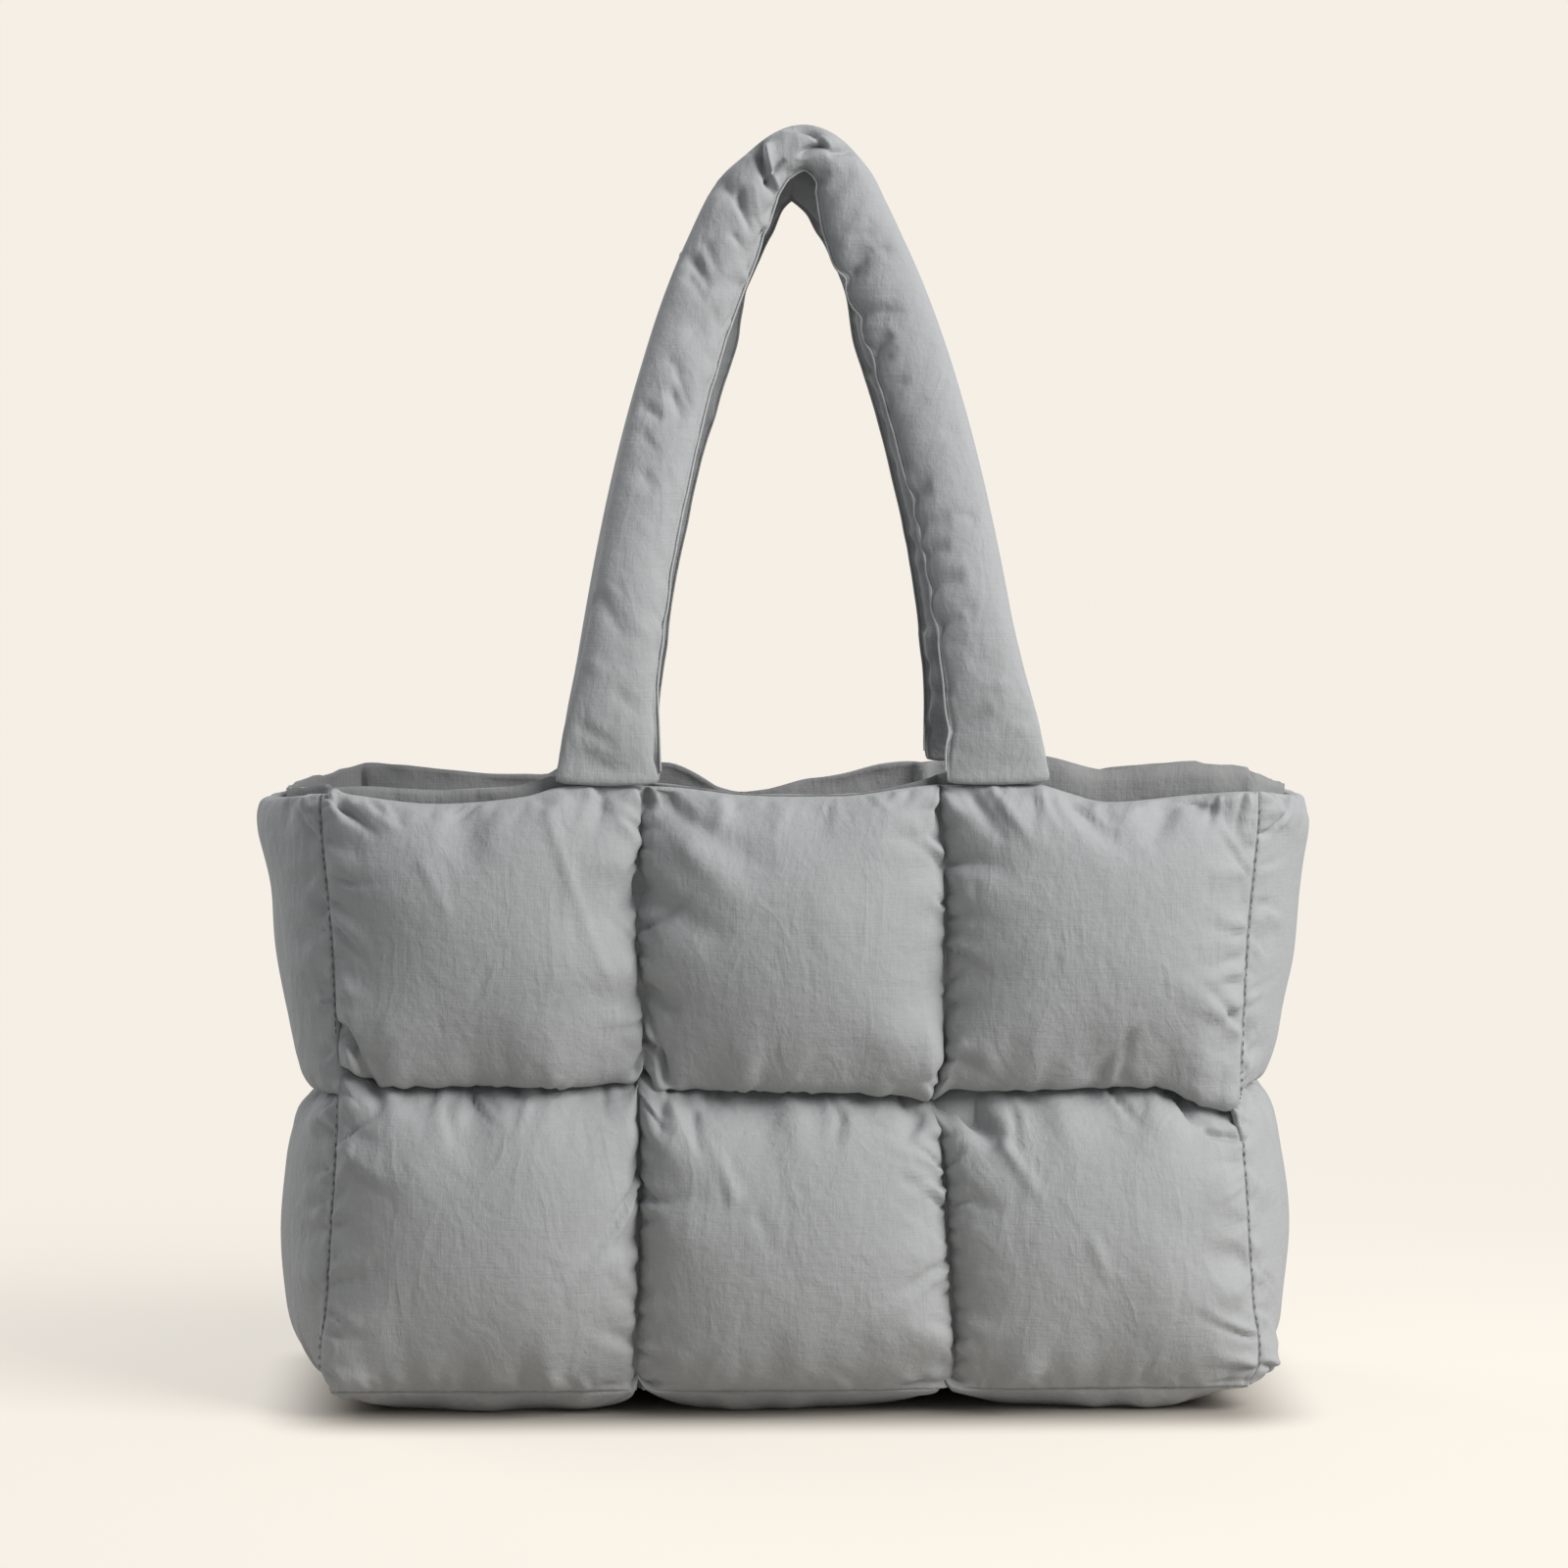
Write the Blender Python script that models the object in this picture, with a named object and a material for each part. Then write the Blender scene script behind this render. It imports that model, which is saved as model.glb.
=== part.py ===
"""Puffer tote bag.

Padded front, back, side and base panels are quilted into square puffs and meet on mitred seams.
A plain facing lines the mouth, and two padded tube handles stand on the top seams.

Metres. X runs across, the front faces -Y, +Z is up. The bag stands on z = 0, and the origin is
under the middle of its box.
"""

import math
from typing import NamedTuple

import bmesh
import bpy
from mathutils import Vector

# Body, from seam to seam
BODY_WIDTH = 0.370
BODY_DEPTH = 0.128
BODY_HEIGHT = 0.2385
BASE_SEAM_HEIGHT = 0.0115
COLUMNS = 3
ROW_SEAM_SHARE = 0.51

# Padding: how far each layer stands off the sewn line
SEAM_THICKNESS = 0.003
FACE_LOFT = 0.020
GUSSET_LOFT = 0.009
BASE_LOFT = 0.017
INNER_LOFT = 0.007
CROWN_FLATNESS = 2.6
CROWN_EDGE = 0.6

# Swell: how far the sewn lines themselves bow outwards
FACE_SWELL = 0.008
GUSSET_SWELL = 0.029
RIM_DIP = 0.012

# Facing inside the mouth
FACING_THICKNESS = 0.0018
FACING_HEIGHT = 0.026
FACING_RISE = 0.0035
FACING_SLACK = 0.0014

# Handles
HANDLE_SPAN = 0.1548
HANDLE_RISE = 0.2535
HANDLE_OFFSET = 0.0045
HANDLE_TOP_SHIFT = 0.0012
HANDLE_WIDTH = 0.0315
HANDLE_DEPTH = 0.034
HANDLE_FOOT_CLEARANCE = 0.0008
BACK_HANDLE_DROP = 0.007
ARCH_POWER = 1.45
ARCH_ROUND = 0.61

# Clearance between neighbouring pieces
GAP = 0.0003

# Fineness of the faces
OUTER_STEPS = 12
INNER_STEPS = 6
STEP_CROWDING = 0.6
HANDLE_SIDES = 12
HANDLE_STATIONS = 44
FACING_ROWS = 3


class Level(NamedTuple):
    """The sewn outline at one height: shares of the body's width and depth and of the swells."""

    height: float
    front_width: float
    back_width: float
    depth: float
    face_swell: float
    gusset_swell: float


LEVELS = (
    Level(0.00, 1.030, 1.010, 1.00, 0.20, 0.20),
    Level(0.07, 0.998, 0.985, 0.99, 0.60, 0.30),
    Level(0.25, 0.985, 0.975, 0.98, 1.00, 0.50),
    Level(0.51, 0.967, 0.955, 0.96, 0.55, 0.53),
    Level(0.75, 0.977, 0.955, 0.98, 1.00, 0.66),
    Level(1.00, 1.000, 0.960, 1.00, 0.40, 1.00),
)


class Rim(NamedTuple):
    """How far the top seam dips at one place across the bag, as shares of the rim's dip."""

    across: float
    front: float
    back: float


RIM = (
    Rim(0.00, 0.00, 0.00),
    Rim(0.12, 0.35, 0.30),
    Rim(0.22, 0.10, 0.45),
    Rim(0.26, 0.00, 0.00),
    Rim(0.36, 0.00, 0.00),
    Rim(0.45, 0.30, 1.00),
    Rim(0.55, 0.35, 0.50),
    Rim(0.66, 0.00, 0.00),
    Rim(0.77, 0.00, 0.00),
    Rim(0.84, 0.35, 0.35),
    Rim(0.93, 0.10, 0.10),
    Rim(1.00, 0.00, 0.00),
)


class Fold(NamedTuple):
    """A soft valley in a face panel, from one place to another as shares across and up the panel."""

    from_across: float
    from_up: float
    to_across: float
    to_up: float
    width: float
    depth: float


# Widths and depths are shares of the face panel's loft.
FRONT_FOLDS = (
    Fold(0.230, 1.00, 0.185, 0.86, 0.35, 0.16),
    Fold(0.305, 1.00, 0.300, 0.90, 0.40, 0.20),
    Fold(0.350, 0.98, 0.410, 0.88, 0.45, 0.26),
    Fold(0.345, 0.90, 0.440, 0.82, 0.40, 0.14),
    Fold(0.640, 0.96, 0.600, 0.84, 0.40, 0.12),
    Fold(0.725, 1.00, 0.730, 0.90, 0.40, 0.20),
    Fold(0.780, 1.00, 0.840, 0.84, 0.35, 0.20),
    Fold(0.830, 1.00, 0.910, 0.88, 0.35, 0.16),
    Fold(0.930, 0.97, 0.985, 0.87, 0.35, 0.14),
    Fold(0.020, 0.50, 0.075, 0.42, 0.35, 0.18),
    Fold(0.335, 0.52, 0.395, 0.44, 0.40, 0.22),
    Fold(0.665, 0.50, 0.705, 0.42, 0.40, 0.22),
    Fold(0.930, 0.48, 0.985, 0.45, 0.35, 0.18),
)
BACK_FOLDS = (
    Fold(0.305, 1.00, 0.295, 0.89, 0.40, 0.20),
    Fold(0.360, 0.98, 0.420, 0.87, 0.40, 0.18),
    Fold(0.640, 0.98, 0.590, 0.88, 0.40, 0.18),
    Fold(0.725, 1.00, 0.735, 0.88, 0.40, 0.20),
    Fold(0.335, 0.52, 0.290, 0.44, 0.40, 0.20),
    Fold(0.665, 0.52, 0.620, 0.44, 0.40, 0.20),
)


class HandleSection(NamedTuple):
    """A handle's section at a share of its half length from its foot, as shares of its width and depth."""

    along: float
    width: float
    depth: float


HANDLE_SECTIONS = (
    HandleSection(0.000, 1.32, 0.16),
    HandleSection(0.012, 1.31, 0.20),
    HandleSection(0.070, 1.22, 0.62),
    HandleSection(0.160, 1.08, 0.90),
    HandleSection(0.350, 1.00, 1.00),
    HandleSection(0.800, 1.00, 1.00),
    HandleSection(0.925, 0.92, 0.98),
    HandleSection(0.960, 0.72, 1.02),
    HandleSection(1.000, 0.78, 1.02),
)


def read_table(table, column, place):
    """A column's value at a place between the rows, on a smooth curve through them."""
    places = [row[0] for row in table]
    values = [getattr(row, column) for row in table]
    place = min(max(place, places[0]), places[-1])
    last = len(table) - 1
    row = next((i for i in range(last) if place <= places[i + 1]), last - 1)

    def slope(i):
        before, after = max(i - 1, 0), min(i + 1, last)
        flat_spot = (values[i] - values[before]) * (values[after] - values[i]) <= 0
        return 0.0 if flat_spot else (values[after] - values[before]) / (places[after] - places[before])

    width = places[row + 1] - places[row]
    share = (place - places[row]) / width
    rise = share * share * (3 - 2 * share)
    lead_in = slope(row) * width * share * (1 - share) ** 2
    lead_out = slope(row + 1) * width * share * share * (1 - share)
    return values[row] + (values[row + 1] - values[row]) * rise + lead_in - lead_out


def blend(first, second, share):
    """The value a share of the way from the first to the second."""
    return first + (second - first) * share


def bow(share):
    """A shallow arch: 0 at both ends and 1 in the middle."""
    return 4 * share * (1 - share)


def level(column, up):
    """A column of the outline's table at a share of the body's height."""
    return read_table(LEVELS, column, up)


def height_at(up, dip):
    """Height above the floor, where the rim's dip fades out down to the row seam."""
    below_rim = max(up - ROW_SEAM_SHARE, 0) / (1 - ROW_SEAM_SHARE)
    return BASE_SEAM_HEIGHT + BODY_HEIGHT * up - dip * below_rim**2


class Panel(NamedTuple):
    """One quilted panel: where its sewn plane lies, and which way its outer layer faces.

    A panel that is open at the top ends there on the rim, and a closed one on a mitred seam.
    """

    name: str
    sewn: object
    outward: Vector
    across: Vector
    up: Vector
    columns: int
    row_seams: tuple
    loft: float
    closed_top: bool = False
    folds: tuple = ()


def face_sewn(side):
    """The sewn plane of the front panel (side -1) or the back panel (side 1)."""
    width, rim = ("front_width", "front") if side < 0 else ("back_width", "back")

    def sewn(across, up):
        x = (2 * across - 1) * BODY_WIDTH / 2 * level(width, up)
        swell = FACE_SWELL * level("face_swell", up) * bow(across)
        y = side * (BODY_DEPTH / 2 * level("depth", up) + swell)
        return Vector((x, y, height_at(up, RIM_DIP * read_table(RIM, rim, across))))

    return sewn


def gusset_sewn(side):
    """The sewn plane of the left (side -1) or right (side 1) gusset, across from front to back."""

    def sewn(across, up):
        seam = BODY_WIDTH / 2 * blend(level("front_width", up), level("back_width", up), across)
        x = side * (seam + GUSSET_SWELL * level("gusset_swell", up) * bow(across))
        y = (2 * across - 1) * BODY_DEPTH / 2 * level("depth", up)
        return Vector((x, y, height_at(up, RIM_DIP * bow(across))))

    return sewn


def base_sewn(across, back):
    """The sewn plane of the base, whose four edges follow the other panels' bottom edges."""
    seam = BODY_WIDTH / 2 * blend(level("front_width", 0), level("back_width", 0), back)
    half_width = seam + GUSSET_SWELL * level("gusset_swell", 0) * bow(back)
    half_depth = BODY_DEPTH / 2 * level("depth", 0) + FACE_SWELL * level("face_swell", 0) * bow(across)
    return Vector(((2 * across - 1) * half_width, (2 * back - 1) * half_depth, BASE_SEAM_HEIGHT))


LEFT, RIGHT = Vector((-1, 0, 0)), Vector((1, 0, 0))
FRONT, BACK = Vector((0, -1, 0)), Vector((0, 1, 0))
UP, DOWN = Vector((0, 0, 1)), Vector((0, 0, -1))
ROW_SEAMS = (0.0, ROW_SEAM_SHARE, 1.0)

FRONT_PANEL = Panel(
    "front_panel", face_sewn(-1), FRONT, RIGHT, UP, COLUMNS, ROW_SEAMS, FACE_LOFT, folds=FRONT_FOLDS
)
BACK_PANEL = Panel(
    "back_panel", face_sewn(1), BACK, RIGHT, UP, COLUMNS, ROW_SEAMS, FACE_LOFT, folds=BACK_FOLDS
)
LEFT_GUSSET = Panel("left_gusset", gusset_sewn(-1), LEFT, BACK, UP, 1, ROW_SEAMS, GUSSET_LOFT)
RIGHT_GUSSET = Panel("right_gusset", gusset_sewn(1), RIGHT, BACK, UP, 1, ROW_SEAMS, GUSSET_LOFT)
BASE_PANEL = Panel(
    "base_panel", base_sewn, DOWN, RIGHT, BACK, COLUMNS, (0.0, 1.0), BASE_LOFT, closed_top=True
)


def cell_share(place, seams):
    """How far across its own puff a place lies, between the seams on both sides of it."""
    for start, end in zip(seams, seams[1:]):
        if place <= end:
            return (place - start) / (end - start)
    return 1.0


def column_seams(columns):
    """The column seams' places across a panel."""
    return tuple(column / columns for column in range(columns + 1))


def crown(share):
    """A puff's profile between two seams: steep by the seams and nearly flat in the middle."""
    return max(1 - abs(2 * share - 1) ** CROWN_FLATNESS, 0) ** CROWN_EDGE


def fold_depth(panel, across, up):
    """How deep the panel's folds press its outer layer in at a place."""
    depth = 0.0
    size = Vector((BODY_WIDTH, BODY_HEIGHT))
    for fold in panel.folds:
        start = Vector((fold.from_across * size.x, fold.from_up * size.y))
        end = Vector((fold.to_across * size.x, fold.to_up * size.y))
        place = Vector((across * size.x, up * size.y))
        run = end - start
        along = min(max((place - start).dot(run) / run.length_squared, 0), 1)
        away = (place - start - run * along).length / (fold.width * panel.loft)
        depth += fold.depth * panel.loft * math.exp(-(away**2)) * (1 - along**2)
    return depth


def layer_point(panel, across, up, outer):
    """A point of the panel's outer or inner layer; along its borders the layers meet a mitre."""
    beside = Vector((0, 0, 0))
    beside += panel.across * ((across == 1) - (across == 0))
    beside += panel.up * ((up == 1 and panel.closed_top) - (up == 0))
    side = 1 if outer else -1
    place = panel.sewn(across, up) - beside * GAP / math.sqrt(2)
    place += (panel.outward + beside) * side * SEAM_THICKNESS / 2
    column_share = cell_share(across, column_seams(panel.columns))
    row_share = cell_share(up, panel.row_seams)
    if not outer:
        swell = math.sin(math.pi * column_share) * math.sin(math.pi * row_share)
        return place - panel.outward * INNER_LOFT * max(swell, 0)
    puff = panel.loft * crown(column_share) * crown(row_share)
    puff -= fold_depth(panel, across, up) * min(puff / (0.3 * panel.loft), 1)
    place += panel.outward * puff
    place.z = max(place.z, 0)
    return place


def crowded(share):
    """Moves even steps across a puff nearer to its two seams, where it curves most."""
    return blend(share, (1 - math.cos(math.pi * share)) / 2, STEP_CROWDING)


def grid_layer(mesh, panel, steps, outer):
    """Adds one layer of a panel as a grid, and returns the edges round it."""
    rows = len(panel.row_seams) - 1
    made = bmesh.ops.create_grid(mesh, x_segments=panel.columns * steps, y_segments=rows * steps, size=0.5)
    for vertex in made["verts"]:
        column_place = round((vertex.co.x + 0.5) * panel.columns * steps) / steps
        row_place = round((vertex.co.y + 0.5) * rows * steps) / steps
        column = min(int(column_place), panel.columns - 1)
        row = min(int(row_place), rows - 1)
        across = (column + crowded(column_place - column)) / panel.columns
        up = blend(panel.row_seams[row], panel.row_seams[row + 1], crowded(row_place - row))
        across = 1.0 if column_place == panel.columns else across
        up = 1.0 if row_place == rows else up
        vertex.co = layer_point(panel, across, up, outer)
    edges = {edge for vertex in made["verts"] for edge in vertex.link_edges}
    return [edge for edge in edges if edge.is_boundary]


def cloth_material(name, colour, roughness):
    """A matt woven cloth."""
    material = bpy.data.materials.new(name)
    material.use_nodes = True
    shader = material.node_tree.nodes["Principled BSDF"]
    shader.inputs["Base Color"].default_value = (*colour, 1)
    shader.inputs["Roughness"].default_value = roughness
    shader.inputs["Metallic"].default_value = 0
    material.diffuse_color = (*colour, 1)
    return material


def finished_object(name, mesh, colour):
    """Turns a bmesh into a named, smooth, coloured object."""
    bmesh.ops.recalc_face_normals(mesh, faces=mesh.faces)
    data = bpy.data.meshes.new(name)
    mesh.to_mesh(data)
    mesh.free()
    data.shade_smooth()
    data.materials.append(cloth_material(f"{name}_cloth", colour, 0.85))
    piece = bpy.data.objects.new(name, data)
    bpy.context.scene.collection.objects.link(piece)
    return piece


def quilted_panel(panel, colour):
    """A padded panel: an outer and an inner layer joined round their borders."""
    mesh = bmesh.new()
    borders = grid_layer(mesh, panel, OUTER_STEPS, True) + grid_layer(mesh, panel, INNER_STEPS, False)
    bmesh.ops.bridge_loops(mesh, edges=borders)
    return finished_object(panel.name, mesh, colour)


def handle_half_depth(along):
    """Half a handle's depth at a share of its half length from its foot."""
    return HANDLE_DEPTH / 2 * read_table(HANDLE_SECTIONS, "depth", along)


def handle_foot_depth(side, end):
    """How far from the bag's middle a handle's left (end -1) or right (end 1) foot stands.

    The foot stands on the rim, clear of the facing that rises behind it.
    """
    width = BODY_WIDTH * level("front_width" if side < 0 else "back_width", 1)
    across = 0.5 + (HANDLE_OFFSET + end * HANDLE_SPAN / 2) / width
    beside_facing = handle_half_depth((FACING_RISE + GAP) / HANDLE_RISE)
    set_out = beside_facing - SEAM_THICKNESS / 2 + HANDLE_FOOT_CLEARANCE
    return abs(face_sewn(side)(across, 1).y) + set_out


def handle_path(side):
    """Points and directions along a handle's middle line, from its left foot to its right.

    The arch is a superellipse that comes to a narrow top, and it leans in to meet the other handle.
    The third list gives each point's share of the half length from the nearer foot.
    """
    foot_depths = {end: handle_foot_depth(side, end) for end in (-1, 1)}
    top_depth = handle_half_depth(1) + GAP / 2
    foot_height = BASE_SEAM_HEIGHT + BODY_HEIGHT + GAP
    rise = HANDLE_RISE - (BACK_HANDLE_DROP if side > 0 else 0)
    points = []
    for i in range(HANDLE_STATIONS + 1):
        turn = math.pi * i / HANDLE_STATIONS
        up = max(math.sin(turn), 0) ** (2 / ARCH_POWER)
        end = -1 if 2 * i < HANDLE_STATIONS else 1
        across = end * abs(math.cos(turn)) ** (2 * ARCH_ROUND)
        lean = up * up * (3 - 2 * up)
        x = HANDLE_OFFSET - HANDLE_TOP_SHIFT * up + HANDLE_SPAN / 2 * across
        y = side * blend(foot_depths[end], top_depth, lean)
        points.append(Vector((x, y, foot_height + rise * up)))
    steps = [after - before for before, after in zip(points, points[1:])]
    headings = [step.normalized() for step in steps]
    middles = [(before + after).normalized() for before, after in zip(headings, headings[1:])]
    lengths = [0.0]
    for step in steps:
        lengths.append(lengths[-1] + step.length)
    alongs = [2 * min(length, lengths[-1] - length) / lengths[-1] for length in lengths]
    return points, [UP, *middles, DOWN], alongs


def padded_handle(name, side, colour):
    """A padded tube along the arch, flattened at both feet and creased beside its top."""
    points, directions, alongs = handle_path(side)
    mesh = bmesh.new()
    bmesh.ops.create_cone(
        mesh, cap_ends=True, segments=HANDLE_SIDES, radius1=1, radius2=1, depth=HANDLE_STATIONS
    )
    lengthwise = [edge for edge in mesh.edges if abs(edge.verts[0].co.z - edge.verts[1].co.z) > 1]
    bmesh.ops.subdivide_edges(mesh, edges=lengthwise, cuts=HANDLE_STATIONS - 1, use_grid_fill=True)
    for vertex in mesh.verts:
        station = round(vertex.co.z + HANDLE_STATIONS / 2)
        across = FRONT.cross(directions[station]).normalized()
        deep = directions[station].cross(across).normalized()
        half_width = HANDLE_WIDTH / 2 * read_table(HANDLE_SECTIONS, "width", alongs[station])
        half_depth = handle_half_depth(alongs[station])
        vertex.co = points[station] + across * half_width * vertex.co.x + deep * half_depth * vertex.co.y
    return finished_object(name, mesh, colour)


def facing_stations():
    """Places round the mouth, each a panel and a share across it, on the steps of the inner layers."""
    cell = [crowded(step / INNER_STEPS) for step in range(INNER_STEPS)]
    face_places = [(column + share) / COLUMNS for column in range(COLUMNS) for share in cell][1:]
    gusset_places = cell[1:]
    stations = [(FRONT_PANEL, place) for place in face_places]
    stations += [(RIGHT_GUSSET, place) for place in gusset_places]
    stations += [(BACK_PANEL, place) for place in reversed(face_places)]
    stations += [(LEFT_GUSSET, place) for place in reversed(gusset_places)]
    return stations


def rim_facing(colour):
    """A thin band that follows the panels' inner layers round the mouth and stands just above the rim."""
    stations = facing_stations()
    count = len(stations)
    mesh = bmesh.new()
    bmesh.ops.create_cone(mesh, cap_ends=False, segments=count, radius1=1, radius2=1, depth=FACING_ROWS)
    upright = [edge for edge in mesh.edges if abs(edge.verts[0].co.z - edge.verts[1].co.z) > 1]
    bmesh.ops.subdivide_edges(mesh, edges=upright, cuts=FACING_ROWS - 1, use_grid_fill=True)
    for vertex in mesh.verts:
        turn = math.atan2(vertex.co.y, vertex.co.x) / math.tau
        panel, across = stations[round(turn * count) % count]
        row = round(FACING_ROWS / 2 - vertex.co.z)
        below = FACING_HEIGHT * max(row - 1, 0) / (FACING_ROWS - 1)
        point = layer_point(panel, across, 1 - below / BODY_HEIGHT, False)
        point -= panel.outward * (GAP + FACING_SLACK + FACING_THICKNESS / 2)
        vertex.co = point + UP * (FACING_RISE if row == 0 else 0)
    piece = finished_object("rim_facing", mesh, colour)
    wall = piece.modifiers.new("wall", "SOLIDIFY")
    wall.thickness = FACING_THICKNESS
    wall.offset = 0
    return piece


def clear_scene():
    """Removes every object, so that only the bag is left."""
    for old in list(bpy.data.objects):
        bpy.data.objects.remove(old, do_unlink=True)


SHELL_GREY = (0.33, 0.34, 0.34)
SHADE_GREY = (0.28, 0.29, 0.29)
FACING_GREY = (0.36, 0.37, 0.36)


def main():
    """Builds the bag's pieces."""
    clear_scene()
    quilted_panel(FRONT_PANEL, SHELL_GREY)
    quilted_panel(BACK_PANEL, SHELL_GREY)
    quilted_panel(LEFT_GUSSET, SHADE_GREY)
    quilted_panel(RIGHT_GUSSET, SHADE_GREY)
    quilted_panel(BASE_PANEL, SHADE_GREY)
    rim_facing(FACING_GREY)
    padded_handle("front_handle", -1, SHELL_GREY)
    padded_handle("back_handle", 1, SHADE_GREY)


main()
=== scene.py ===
"""Puffer tote bag: quilted cloth panels, tube handles, mouth facing and stitches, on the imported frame."""

import logging
import math
from dataclasses import dataclass, field
from enum import Enum
from typing import NamedTuple

import bmesh
import bpy
import numpy as np
from mathutils import Matrix, Vector


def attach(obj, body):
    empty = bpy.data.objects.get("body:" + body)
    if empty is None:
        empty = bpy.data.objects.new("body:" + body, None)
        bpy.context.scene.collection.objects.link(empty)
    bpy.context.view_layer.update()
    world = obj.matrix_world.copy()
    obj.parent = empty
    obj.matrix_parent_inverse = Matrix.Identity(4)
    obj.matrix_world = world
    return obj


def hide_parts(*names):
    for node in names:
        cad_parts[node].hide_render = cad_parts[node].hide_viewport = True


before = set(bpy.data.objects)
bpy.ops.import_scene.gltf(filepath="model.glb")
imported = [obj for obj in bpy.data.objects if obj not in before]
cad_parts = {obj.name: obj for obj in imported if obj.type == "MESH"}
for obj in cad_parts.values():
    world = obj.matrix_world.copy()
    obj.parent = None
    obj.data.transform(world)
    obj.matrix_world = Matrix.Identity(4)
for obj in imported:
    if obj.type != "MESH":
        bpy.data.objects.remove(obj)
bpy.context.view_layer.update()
LOG = logging.getLogger("puffer_tote")
BODY = "root"
GAP = 0.0003
SEAM_SLIT = 0.00006
TINY = 1e-6
PANEL_SEEDS, HANDLE_SEEDS = 100, 10

Array = np.ndarray


class Edge(Enum):
    """The side of the bag that a panel closes."""

    FRONT = "front"
    BACK = "back"
    LEFT = "left"
    RIGHT = "right"
    BASE = "base"


class Level(NamedTuple):
    """The sewn outline at one height: shares of the body's width and depth and of the swells."""

    height: float
    front_width: float
    back_width: float
    depth: float
    face_swell: float
    gusset_swell: float


class Rim(NamedTuple):
    """How far the top seam dips at one place across the bag, as shares of the rim's dip."""

    across: float
    front: float
    back: float


class HandleSection(NamedTuple):
    """A handle's section at a share of its half length from its foot, as shares of its width and depth."""

    along: float
    width: float
    depth: float


class Rise(NamedTuple):
    """How far the facing stands above the front seam at one place across the bag, in metres."""

    across: float
    rise: float


class Drift(NamedTuple):
    """How far a seam strays from its straight line at one place along it, in metres."""

    along: float
    stray: float


class Crease(NamedTuple):
    """A valley or, with a negative depth, a ridge on the front of a handle.

    Along is a share of its length from the left foot, and across runs from -1 at its inner edge to 1 at its
    outer edge. Widths and depths are metres.
    """

    from_along: float
    from_across: float
    to_along: float
    to_across: float
    width: float
    depth: float


class Fold(NamedTuple):
    """A soft valley or, with a negative depth, a ridge, between two places as shares across and up.

    Its width and depth are metres.
    """

    from_across: float
    from_up: float
    to_across: float
    to_up: float
    width: float
    depth: float


LEVELS = (
    Level(0.00, 0.990, 0.980, 0.97, 0.20, 0.05),
    Level(0.03, 1.006, 0.994, 0.99, 0.35, 0.11),
    Level(0.07, 1.008, 0.990, 0.99, 0.60, 0.38),
    Level(0.13, 0.996, 0.982, 0.99, 0.75, 0.57),
    Level(0.25, 0.985, 0.975, 0.98, 1.00, 0.71),
    Level(0.51, 0.967, 0.955, 0.96, 0.55, 0.60),
    Level(0.75, 0.977, 0.955, 0.98, 1.00, 0.88),
    Level(1.00, 1.000, 0.960, 1.00, 0.40, 0.95),
)
RIM = (
    Rim(0.00, 0.00, 0.00),
    Rim(0.12, 0.35, 0.30),
    Rim(0.22, 0.10, 0.45),
    Rim(0.25, -0.20, 0.00),
    Rim(0.36, -0.22, 0.00),
    Rim(0.45, 0.08, 1.00),
    Rim(0.55, 0.12, 0.50),
    Rim(0.66, -0.25, 0.00),
    Rim(0.77, -0.22, 0.00),
    Rim(0.84, 0.35, 0.35),
    Rim(0.93, 0.10, 0.10),
    Rim(1.00, 0.00, 0.00),
)
HANDLE_SECTIONS = (
    HandleSection(0.000, 1.32, 0.16),
    HandleSection(0.012, 1.31, 0.20),
    HandleSection(0.070, 1.22, 0.62),
    HandleSection(0.160, 1.08, 0.90),
    HandleSection(0.350, 1.00, 1.00),
    HandleSection(0.800, 0.98, 1.00),
    HandleSection(0.900, 0.90, 0.94),
    HandleSection(0.950, 0.76, 0.84),
    HandleSection(1.000, 0.78, 0.84),
)
FACING_RISE = (
    Rise(0.00, 0.0015),
    Rise(0.05, 0.0040),
    Rise(0.15, 0.0052),
    Rise(0.26, 0.0030),
    Rise(0.38, 0.0004),
    Rise(0.60, 0.0004),
    Rise(0.66, 0.0030),
    Rise(0.74, 0.0098),
    Rise(0.80, 0.0120),
    Rise(0.90, 0.0128),
    Rise(0.97, 0.0110),
    Rise(1.00, 0.0085),
)
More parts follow.
